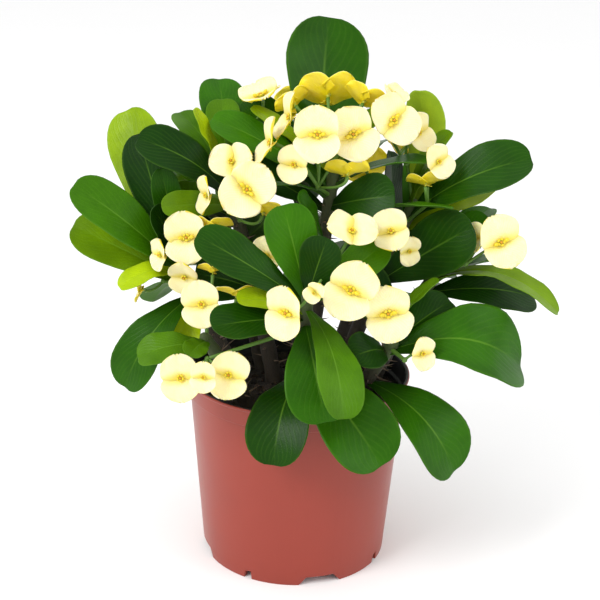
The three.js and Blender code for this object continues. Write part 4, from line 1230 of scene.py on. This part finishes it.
def make_pot(look):
    outside, inside = pot_outside(), pot_inside()[1:]
    angles = pot_angles(math.degrees(look.step_angle))
    rows = []
    for radius, height in outside + inside:
        on_ring = radius > FOOT_RADIUS - FOOT_RING_WIDTH - POT_ROUNDING and height < FLOOR_LIFT
        row = []
        for angle in angles:
            turn = math.radians(angle)
            raised = max(height, notch_lift(angle)) if on_ring else height
            row.append((radius * math.sin(turn), -radius * math.cos(turn), raised))
        rows.append(row)
    rings = np.array(rows)
    faces = grid_faces(len(rings), len(angles), closed=True)
    finishes = [OUTSIDE] * ((len(outside) - 1) * len(angles)) + [INSIDE] * (len(inside) * len(angles))
    faces.append(tuple(range(len(angles) - 1, -1, -1)))
    faces.append(tuple(range((len(rings) - 1) * len(angles), len(rings) * len(angles))))
    skin = Skin()
    skin.add(rings, faces, finish=finishes + [OUTSIDE, INSIDE])
    duller = look.roughness + PLASTIC_FINISH["inside_duller"]
    materials = [plastic_material("Terracotta plastic", look.wall_colour, look.roughness),
                 plastic_material("Black plastic", look.inside_colour, duller)]
    skin.make("pot_shell", materials, "pot", POT_SHARP_ANGLE)


# ---------- the potting mix ----------

SOIL_SECTORS, SOIL_RINGS = 96, 26
SOIL_EYE_RADIUS = 0.4
SOIL_UNEVEN = 0.9
# A loose crumb's smallest size and how much it can grow, how far it keeps from the wall, and how
# much of its size it stands up and is skewed by.
LOOSE_CRUMB = {"size": 0.7, "growth": 1.5, "from_wall": 2.5, "rise": 0.2, "skew": 0.7}


def soil_height(x, y):
    radius = np.hypot(x, y) / LIP_RADIUS
    crumbs = CRUMB["height"] * np.sin(x / CRUMB["along"]) * np.cos(y / CRUMB["across"])
    return SOIL_TOP + SOIL_RISE * (1 - radius ** 2) + crumbs


def make_soil(look):
    bottom = FLOOR_LIFT + WALL + GAP
    angles = np.arange(SOIL_SECTORS) * 2 * math.pi / SOIL_SECTORS
    reach = outer_radius(SOIL_TOP) - WALL - GAP
    foot_reach = outer_radius(bottom) - WALL - GAP
    radii = [foot_reach] + [reach * (1 - ring / SOIL_RINGS) + SOIL_EYE_RADIUS * ring / SOIL_RINGS
                            for ring in range(SOIL_RINGS + 1)]
    draws = dice(SEEDS["soil"])
    rings = []
    for index, radius in enumerate(radii):
        x, y = radius * np.cos(angles), radius * np.sin(angles)
        if index == 0:
            height = np.full(SOIL_SECTORS, bottom)
        else:
            rough = np.array([next(draws) for _ in angles]) - 0.5
            height = soil_height(x, y) + rough * (SOIL_UNEVEN if index > 1 else 0)
        rings.append(np.stack([x, y, height], axis=-1))
    skin = Skin()
    add_tube(skin, np.array(rings))
    for _ in range(look.crumbs):
        angle = 2 * math.pi * next(draws)
        spread = math.sqrt(next(draws)) * (reach - LOOSE_CRUMB["from_wall"])
        x, y = spread * math.cos(angle), spread * math.sin(angle)
        size = LOOSE_CRUMB["size"] + LOOSE_CRUMB["growth"] * next(draws) ** 2
        skew = np.array([[next(draws) - 0.5 for _ in range(3)] for _ in range(3)])
        axes = skew * LOOSE_CRUMB["skew"] + np.eye(3)
        centre = np.array([x, y, soil_height(x, y) + LOOSE_CRUMB["rise"] * size])
        add_lump(skin, centre, axes * size, rings=4, sides=6)
    skin.make("potting_mix", [soil_material(look)], "soil")


# ---------- stems with their thorns ----------

STEM_SIDES, STEM_RINGS = 16, 70
# The bark's relief in millimetres, what bumps and leaf scars take of it, and how close the scars are.
BARK = {"height": 0.35, "bumps": 0.8, "scars": 0.6, "scar_turn": 0.45}
STEM_END = ((0.85, 0.4), (0.5, 0.9))  # its last rings: how narrow, and how far on in tip radii
YOUNG_TONE, THORN_TONE = 0.5, 1.0
THORN_SIDES = 6
THORN_TAPER = np.array([1.15, 0.62, 0.42, 0.24, 0.03])
THORN_BEND = {"out": 0.5, "down": 0.05}
SMALL_THORN = {"turn": 0.37, "length": (0.45, 0.85), "radius": 0.7}


def add_thorn(skin, curve, share, angle, length, radius):
    """A slightly hooked thorn that stands out of the bark."""
    along = curve.along(share)
    across = unit(np.cross(BACK, along))
    outward = unit(turned(across, along, angle) + along * THORN["lean"])
    root = curve.at(share) + outward * (stem_radius(share) - THORN["sunk"])
    bend = root + outward * length * THORN_BEND["out"] - along * length * THORN_BEND["down"]
    spine = Curve(root, bend, root + outward * length)
    shares = np.linspace(0, 1, len(THORN_TAPER))
    radii = radius * THORN_TAPER
    add_tube(skin, ring_points(spine, shares, radii[:, None], THORN_SIDES), tone=THORN_TONE)


def add_stem(skin, name, order, extra_thorns):
    """A barked stem with leaf scars, and its large thorns with the small ones between them."""
    curve = stem_curve(name)
    shares = np.linspace(0, 1, STEM_RINGS)
    draws = dice(SEEDS["stems"] + order)
    bumps = np.array([[next(draws) - 0.5 for _ in range(STEM_SIDES)] for _ in shares])
    scars = np.abs(np.sin(shares * STEM_RINGS * BARK["scar_turn"]))[:, None]
    relief = BARK["height"] * (bumps * BARK["bumps"] - scars * BARK["scars"])
    radii = stem_radius(shares)[:, None] + relief
    rings = ring_points(curve, shares, radii, STEM_SIDES)
    end = curve.at(1.0)
    caps = [end + (rings[-1] - end) * narrowing + curve.along(1.0) * STEM_TIP_RADIUS * lift
            for narrowing, lift in STEM_END]
    ring_tones = np.concatenate([YOUNG_TONE * shares ** 3, [YOUNG_TONE] * len(caps)])
    add_tube(skin, np.concatenate([rings, np.array(caps)]), tone=np.repeat(ring_tones, STEM_SIDES))
    heights = curve.at(np.linspace(0, 1, STEM_SAMPLES + 1))[:, 2]
    bare = int(np.argmax(heights > SOIL_TOP + THORN["length"])) / STEM_SAMPLES
    step = extra_thorns + 1
    count = (THORN["count"] - 1) * step + 1
    for index in range(count):
        share = mix(bare, THORN["last"], index / (count - 1))
        large = index % step == 0
        if large:
            turn, length, radius = index // step, 1, 1
        else:
            turn, radius = index + SMALL_THORN["turn"], SMALL_THORN["radius"]
            length = mix(*SMALL_THORN["length"], next(draws))
        add_thorn(skin, curve, share, 360 * (turn * GOLDEN_SHARE % 1), THORN["length"] * length,
                  THORN["radius"] * radius)


def make_stems(look):
    bark = bark_material(look)
    for order, name in enumerate(SHOOTS):
        skin = Skin()
        add_stem(skin, name, order, look.extra_thorns)
        skin.make(f"stem_{name}", [bark], f"shoot_{name}")


# ---------- leaves ----------

LEAF_ROWS = np.array([0, 0.04, 0.09, 0.15, 0.21, 0.28, 0.35, 0.42, 0.49, 0.56, 0.63, 0.7, 0.76, 0.82,
                      0.87, 0.91, 0.945, 0.97, 0.985, 0.995])
LEAF_COLUMNS = np.array([-1, -0.94, -0.8, -0.6, -0.4, -0.22, -0.09, -0.03,
                         0.03, 0.09, 0.22, 0.4, 0.6, 0.8, 0.94, 1])
# A margin's waves: the fewest and how many more, how far one side's run ahead of the other's, and
# how fast they rise from the foot and the tip.
LEAF_WAVES = {"fewest": 2.0, "draw": 1.5, "other_side": 1.9, "from_foot": 3, "from_tip": 4}
MARGIN_THICKNESS = 0.4
MIDRIB = {"groove": 0.3, "keel": 0.75, "share": 0.1, "from_foot": 4}
PETIOLE_THICKNESS, PETIOLE_FADE = 0.7, 6
LEAF_TONE_DRAW = 0.12


def add_leaf(skin, leaf, order, look):
    """A blade with a waved margin, a grooved and keeled midrib, and a thicker foot."""
    thickness, wave = look.thickness / MM, look.wave / MM
    draws = dice(SEEDS["leaves"] + order)
    phase = 2 * math.pi * next(draws)
    waves = LEAF_WAVES["fewest"] + LEAF_WAVES["draw"] * next(draws)
    widths = leaf_width(leaf, LEAF_ROWS)
    points, facing = leaf_points(leaf, LEAF_ROWS, LEAF_COLUMNS, widths)
    across, along = LEAF_COLUMNS[None, :], LEAF_ROWS[:, None]
    side_phase = phase + np.where(across > 0, LEAF_WAVES["other_side"], 0)
    ripple = wave * across ** 2 * (np.sin(2 * math.pi * waves * along + side_phase) - 1) / 2
    ripple = ripple * np.minimum(1, LEAF_WAVES["from_foot"] * along)
    ripple = ripple * np.minimum(1, LEAF_WAVES["from_tip"] * (1 - along))
    rib = np.exp(-(across / MIDRIB["share"]) ** 2) * (1 - along) ** 0.5
    petiole = PETIOLE_THICKNESS * (1 - along) ** PETIOLE_FADE * (1 - across ** 2)
    half = thickness / 2 * mix(1, MARGIN_THICKNESS, across ** 4) + petiole
    top = ripple + half - MIDRIB["groove"] * rib * np.minimum(1, MIDRIB["from_foot"] * along)
    under = ripple - half - MIDRIB["keel"] * rib
    tone = min(max(leaf["tone"] + LEAF_TONE_DRAW * (next(draws) - 0.5), 0), 1)
    add_shell(skin, points + facing * top[..., None], points + facing * under[..., None],
              LEAF_COLUMNS, LEAF_ROWS, tone)


def make_leaves(look):
    waxy = leaf_material(look)
    leaves = list(enumerate(all_leaves()))
    for name in SHOOTS:
        skin = Skin()
        for order, leaf in leaves:
            if leaf["shoot"] == name:
                add_leaf(skin, leaf, order, look)
        skin.make(f"leaves_{name}", [waxy], f"shoot_{name}")


# ---------- flower stalks ----------

STALK_SIDES, STALK_RINGS = 8, 12
STALK_TAPER = (1.15, 0.95)
BRANCH = {"radius": 0.78, "swell": 0.35, "swell_power": 6}
FORK_SWELL = 1.5


def add_spray_stalks(skin, spray):
    """A tapered stalk up to the fork, a knot there, and a branch that swells under each bloom."""
    main, *branches = stalk_curves(spray)
    shares = np.linspace(0, 1, STALK_RINGS)
    tapering = STALK_RADIUS * mix(*STALK_TAPER, shares)
    add_tube(skin, ring_points(main, shares, tapering[:, None], STALK_SIDES))
    swelling = STALK_RADIUS * (BRANCH["radius"] + BRANCH["swell"] * shares ** BRANCH["swell_power"])
    for curve in branches:
        add_tube(skin, ring_points(curve, shares, swelling[:, None], STALK_SIDES))
    add_lump(skin, main.end, np.eye(3) * STALK_RADIUS * FORK_SWELL)


def make_stalks(look):
    green = stalk_material(look)
    for name in SHOOTS:
        sprays = [spray for spray in SPRAYS if spray[0] == name]
        if not sprays:
            continue
        skin = Skin()
        for spray in sprays:
            add_spray_stalks(skin, spray)
        skin.make(f"stalks_{name}", [green], f"shoot_{name}")


# ---------- blooms ----------

BRACT_ROWS = np.array([0, 0.05, 0.12, 0.2, 0.3, 0.4, 0.5, 0.6, 0.7, 0.79, 0.87, 0.93, 0.97, 0.99])
BRACT_COLUMNS = np.array([-1, -0.93, -0.78, -0.6, -0.42, -0.25, -0.1, 0,
                          0.1, 0.25, 0.42, 0.6, 0.78, 0.93, 1])
# Shares of a bract's width and length, and its thickness at the edge as a share of the middle's.
BRACT_CLAW = 0.56
BRACT_WIDEST = 0.42
BRACT_LOBE = 0.2
BRACT_OUTLINE = {"uneven": 0.04, "along": 1.4, "across": 0.6}
BRACT_RUFFLES = {"fewest": 1.6, "draw": 1.2, "share": 0.6}
BRACT_DISH_POWER = 1.5
BRACT_SEAT = 0.35
BRACT_EDGE = 0.5
BRACT_TONE_DRAW = 0.15

# The true flowers in millimetres. The profile is radius and height; the sizes are half axes.
CUP_SIDES = 14
CUP_PROFILE = (
    (0.4, -CUP_BELOW), (0.8, -0.9), (1.25, 0.2), (1.6, 1.2), (1.75, 1.9), (1.2, 2.0), (0.3, 1.5),
)
GLAND = {"count": 5, "size": (0.62, 0.95, 0.4), "out": 1.55, "height": 2.1}
ANTHER = {"count": 7, "size": 0.36, "out": 0.28, "height": 2.55, "drop": 0.12}
SIDE_BUD = {"size": (1.0, 1.0, 1.5), "aside": 2.9, "height": 2.3, "lean": (0.9, 0.6), "bloom": 0.95}
CUP_TONE, BUD_TONE, GLAND_TONE, ANTHER_TONE = 0.1, 0.42, 0.5, 1.0
FLOWER = 1  # the second of a bloom's two materials


def bract_width(share):
    """The share of its full width that a bract has: broad lobes at its claw and a rounded end."""
    near = mix(BRACT_CLAW, 1, np.sin(np.minimum(share / BRACT_WIDEST, 1) * math.pi / 2))
    far = np.sqrt(np.maximum(0, 1 - (np.maximum(share - BRACT_WIDEST, 0) / (1 - BRACT_WIDEST)) ** 2))
    return near * far


def add_bract(skin, bloom, sign, draws, look):
    """A dished, ruffled bract with a narrow claw, seated a little above or below its twin."""
    place, _, _, size = bloom
    along, face, side = bract_frame(bloom, sign)
    length, full = BRACT["length"] * size, BRACT["width"] * size
    across, shares = BRACT_COLUMNS[None, :, None], BRACT_ROWS[:, None, None]
    phase = 2 * math.pi * next(draws)
    ruffles = BRACT_RUFFLES["fewest"] + BRACT_RUFFLES["draw"] * next(draws)
    waves = BRACT_OUTLINE["along"] * shares + BRACT_OUTLINE["across"] * across
    uneven = 1 + BRACT_OUTLINE["uneven"] * np.sin(2 * math.pi * waves + phase)
    width = full * bract_width(shares) * uneven
    lobed = shares - BRACT_LOBE * across ** 2 * (1 - shares) ** 2
    ruffle = look.ruffle / MM * size * np.sin(math.pi * ruffles * (across + lobed) + phase)
    ruffle = ruffle * (across ** 2 + shares ** 3) * BRACT_RUFFLES["share"]
    dish = np.abs(across) ** BRACT_DISH_POWER * width * BRACT["dish"]
    lift = -BRACT["recurve"] * length * shares ** 2 + dish + ruffle
    seat = BRACT_SEAT * sign * (1 - shares)
    middle = (np.array(place, float) + along * length * lobed + side * across * width / 2
              + face * (lift + seat))
    edge = np.maximum(np.abs(across) ** 6, shares ** 8)
    half = look.thickness / MM / 2 * mix(1, BRACT_EDGE, edge)
    add_shell(skin, middle + face * half, middle - face * half, BRACT_COLUMNS, BRACT_ROWS,
              BRACT_TONE_DRAW * next(draws))


def add_flower_cup(skin, bloom):
    """The cup with its nectar glands round the rim and the anthers inside."""
    place, _, _, size = bloom
    facing, first = bloom_frame(bloom)
    side = np.cross(first, facing)
    place = np.array(place, float)
    angles = np.arange(CUP_SIDES) * 2 * math.pi / CUP_SIDES
    spokes = first[None] * np.cos(angles)[:, None] - side[None] * np.sin(angles)[:, None]
    rings = [place + spokes * radius * size + facing * height for radius, height in CUP_PROFILE]
    add_tube(skin, np.array(rings), CUP_TONE, FLOWER)
    for gland in range(GLAND["count"]):
        out = turned(first, facing, 360 * (gland + 0.5) / GLAND["count"])
        level = np.cross(facing, out)
        depth, width, height = GLAND["size"]
        centre = place + out * GLAND["out"] * size + facing * GLAND["height"]
        axes = (out * depth * size, level * width * size, facing * height)
        add_lump(skin, centre, axes, tone=GLAND_TONE, finish=FLOWER)
    for anther in range(ANTHER["count"]):
        out = turned(first, facing, 360 * anther * GOLDEN_SHARE)
        reach = ANTHER["out"] * math.sqrt(anther) * size
        centre = place + out * reach + facing * (ANTHER["height"] - ANTHER["drop"] * anther)
        axes = np.eye(3) * ANTHER["size"] * size
        add_lump(skin, centre, axes, rings=5, sides=7, tone=ANTHER_TONE, finish=FLOWER)


def add_side_buds(skin, bloom):
    """Two small buds of the next flowers, one at each side of the cup."""
    place, _, _, size = bloom
    facing, first = bloom_frame(bloom)
    side = np.cross(first, facing)
    aside, forward = SIDE_BUD["lean"]
    depth, width, length = SIDE_BUD["size"]
    for sign in (1, -1):
        out = unit(side * sign * aside + facing * forward)
        across = unit(np.cross(out, first))
        centre = np.array(place, float) + side * sign * SIDE_BUD["aside"] * size
        centre = centre + facing * SIDE_BUD["height"]
        axes = (first * depth * size, across * width * size, out * length * size)
        add_lump(skin, centre, axes, tone=BUD_TONE, finish=FLOWER)


def make_blooms(look):
    materials = [bract_material(look), flower_cup_material(look)]
    blooms = [bloom for spray in SPRAYS for bloom in spray[3]]
    for order, bloom in enumerate(blooms):
        skin = Skin()
        draws = dice(SEEDS["blooms"] + order)
        for sign in (1, -1):
            add_bract(skin, bloom, sign, draws, look)
        add_flower_cup(skin, bloom)
        if bloom[3] >= SIDE_BUD["bloom"]:
            add_side_buds(skin, bloom)
        skin.make(f"flower_{order + 1:02d}", materials, f"bloom_{order + 1:02d}")


# ---------- the stage ----------
# Places and sizes in metres, and the camera's sensor in millimetres.

FLOOR_CORNERS = 96
AIM = (0, 0, 0.14)
KEY_PLACE, KEY_SIZE = (-0.9, -0.8, 1.1), 0.7
FILL_PLACE, FILL_SIZE = (1.1, -0.5, 0.7), 0.8
SENSOR_WIDTH = 36.0
NEAREST, FARTHEST = 0.01, 50.0


def make_floor(look):
    mesh = bpy.data.meshes.new("floor")
    angles = [2 * math.pi * corner / FLOOR_CORNERS for corner in range(FLOOR_CORNERS)]
    points = [(look.floor_radius * math.cos(angle), look.floor_radius * math.sin(angle), 0)
              for angle in angles]
    mesh.from_pydata(points, [], [tuple(range(FLOOR_CORNERS))])
    mesh.materials.append(floor_material(look))
    floor = bpy.data.objects.new("floor", mesh)
    bpy.context.scene.collection.objects.link(floor)


def add_light(name, place, power, size):
    light = bpy.data.lights.new(name, "AREA")
    light.energy, light.shape, light.size = power, "DISK", size
    lamp = bpy.data.objects.new(name, light)
    lamp.location = place
    lamp.rotation_euler = (Vector(AIM) - Vector(place)).to_track_quat("-Z", "Y").to_euler()
    bpy.context.scene.collection.objects.link(lamp)


def make_camera(look):
    camera = bpy.data.cameras.new("Camera")
    camera.sensor_width, camera.lens = SENSOR_WIDTH, look.lens
    camera.clip_start, camera.clip_end = NEAREST, FARTHEST
    holder = bpy.data.objects.new("Camera", camera)
    tilt = Matrix.Rotation(math.pi / 2 - look.pitch, 4, "X")
    lean = Matrix.Rotation(look.roll, 4, "Z")
    holder.matrix_world = Matrix.Translation(Vector(look.eye)) @ tilt @ lean
    bpy.context.scene.collection.objects.link(holder)
    bpy.context.scene.camera = holder


def make_stage(look):
    make_floor(look)
    scene = bpy.context.scene
    world = bpy.data.worlds.new("Studio")
    world.use_nodes = True
    background = world.node_tree.nodes["Background"]
    background.inputs["Color"].default_value = (1, 1, 1, 1)
    background.inputs["Strength"].default_value = look.sky_strength
    scene.world = world
    scene.view_settings.view_transform = "Standard"
    add_light("key", KEY_PLACE, look.key_power, KEY_SIZE)
    add_light("fill", FILL_PLACE, look.fill_power, FILL_SIZE)
    make_camera(look)


# ---------- operators, panel and registration ----------


class EUPHORBIA_OT_pot(bpy.types.Operator):
    """Builds the plastic pot"""
    bl_idname = "euphorbia.pot"
    bl_label = "Pot"

    def execute(self, context):
        make_pot(context.scene.euphorbia_pot)
        return {"FINISHED"}


class EUPHORBIA_OT_soil(bpy.types.Operator):
    """Fills the pot with potting mix"""
    bl_idname = "euphorbia.soil"
    bl_label = "Potting mix"

    def execute(self, context):
        make_soil(context.scene.euphorbia_soil)
        return {"FINISHED"}


class EUPHORBIA_OT_stems(bpy.types.Operator):
    """Grows the thorny stems"""
    bl_idname = "euphorbia.stems"
    bl_label = "Stems"

    def execute(self, context):
        make_stems(context.scene.euphorbia_stem)
        return {"FINISHED"}


class EUPHORBIA_OT_leaves(bpy.types.Operator):
    """Grows the leaves of every shoot"""
    bl_idname = "euphorbia.leaves"
    bl_label = "Leaves"

    def execute(self, context):
        make_leaves(context.scene.euphorbia_leaf)
        return {"FINISHED"}


class EUPHORBIA_OT_stalks(bpy.types.Operator):
    """Grows the green flower stalks"""
    bl_idname = "euphorbia.stalks"
    bl_label = "Flower stalks"

    def execute(self, context):
        make_stalks(context.scene.euphorbia_stem)
        return {"FINISHED"}


class EUPHORBIA_OT_blooms(bpy.types.Operator):
    """Opens the blooms"""
    bl_idname = "euphorbia.blooms"
    bl_label = "Blooms"

    def execute(self, context):
        make_blooms(context.scene.euphorbia_bloom)
        return {"FINISHED"}


class EUPHORBIA_OT_stage(bpy.types.Operator):
    """Sets up the floor, the light and the camera"""
    bl_idname = "euphorbia.stage"
    bl_label = "Stage"

    def execute(self, context):
        make_stage(context.scene.euphorbia_stage)
        return {"FINISHED"}


class EUPHORBIA_PT_panel(bpy.types.Panel):
    """Lists the steps that build the plant"""
    bl_label = "Potted Euphorbia"
    bl_idname = "EUPHORBIA_PT_panel"
    bl_space_type = "VIEW_3D"
    bl_region_type = "UI"
    bl_category = "Euphorbia"

    def draw(self, context):
        for operator in OPERATORS:
            self.layout.operator(operator.bl_idname)


LOOKS = {
    "euphorbia_pot": PotLook, "euphorbia_soil": SoilLook, "euphorbia_stem": StemLook,
    "euphorbia_leaf": LeafLook, "euphorbia_bloom": BloomLook, "euphorbia_stage": StageLook,
}
OPERATORS = (EUPHORBIA_OT_stage, EUPHORBIA_OT_pot, EUPHORBIA_OT_soil, EUPHORBIA_OT_stems,
             EUPHORBIA_OT_leaves, EUPHORBIA_OT_stalks, EUPHORBIA_OT_blooms)


def register():
    for kind in (*LOOKS.values(), *OPERATORS, EUPHORBIA_PT_panel):
        bpy.utils.register_class(kind)
    for name, look in LOOKS.items():
        setattr(bpy.types.Scene, name, bpy.props.PointerProperty(type=look))


def unregister():
    for name in LOOKS:
        delattr(bpy.types.Scene, name)
    for kind in reversed((*LOOKS.values(), *OPERATORS, EUPHORBIA_PT_panel)):
        bpy.utils.unregister_class(kind)


def main():
    register()
    bpy.ops.euphorbia.stage()
    bpy.ops.euphorbia.pot()
    bpy.ops.euphorbia.soil()
    bpy.ops.euphorbia.stems()
    bpy.ops.euphorbia.leaves()
    bpy.ops.euphorbia.stalks()
    bpy.ops.euphorbia.blooms()
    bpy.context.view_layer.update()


if __name__ == "__main__":
    main()
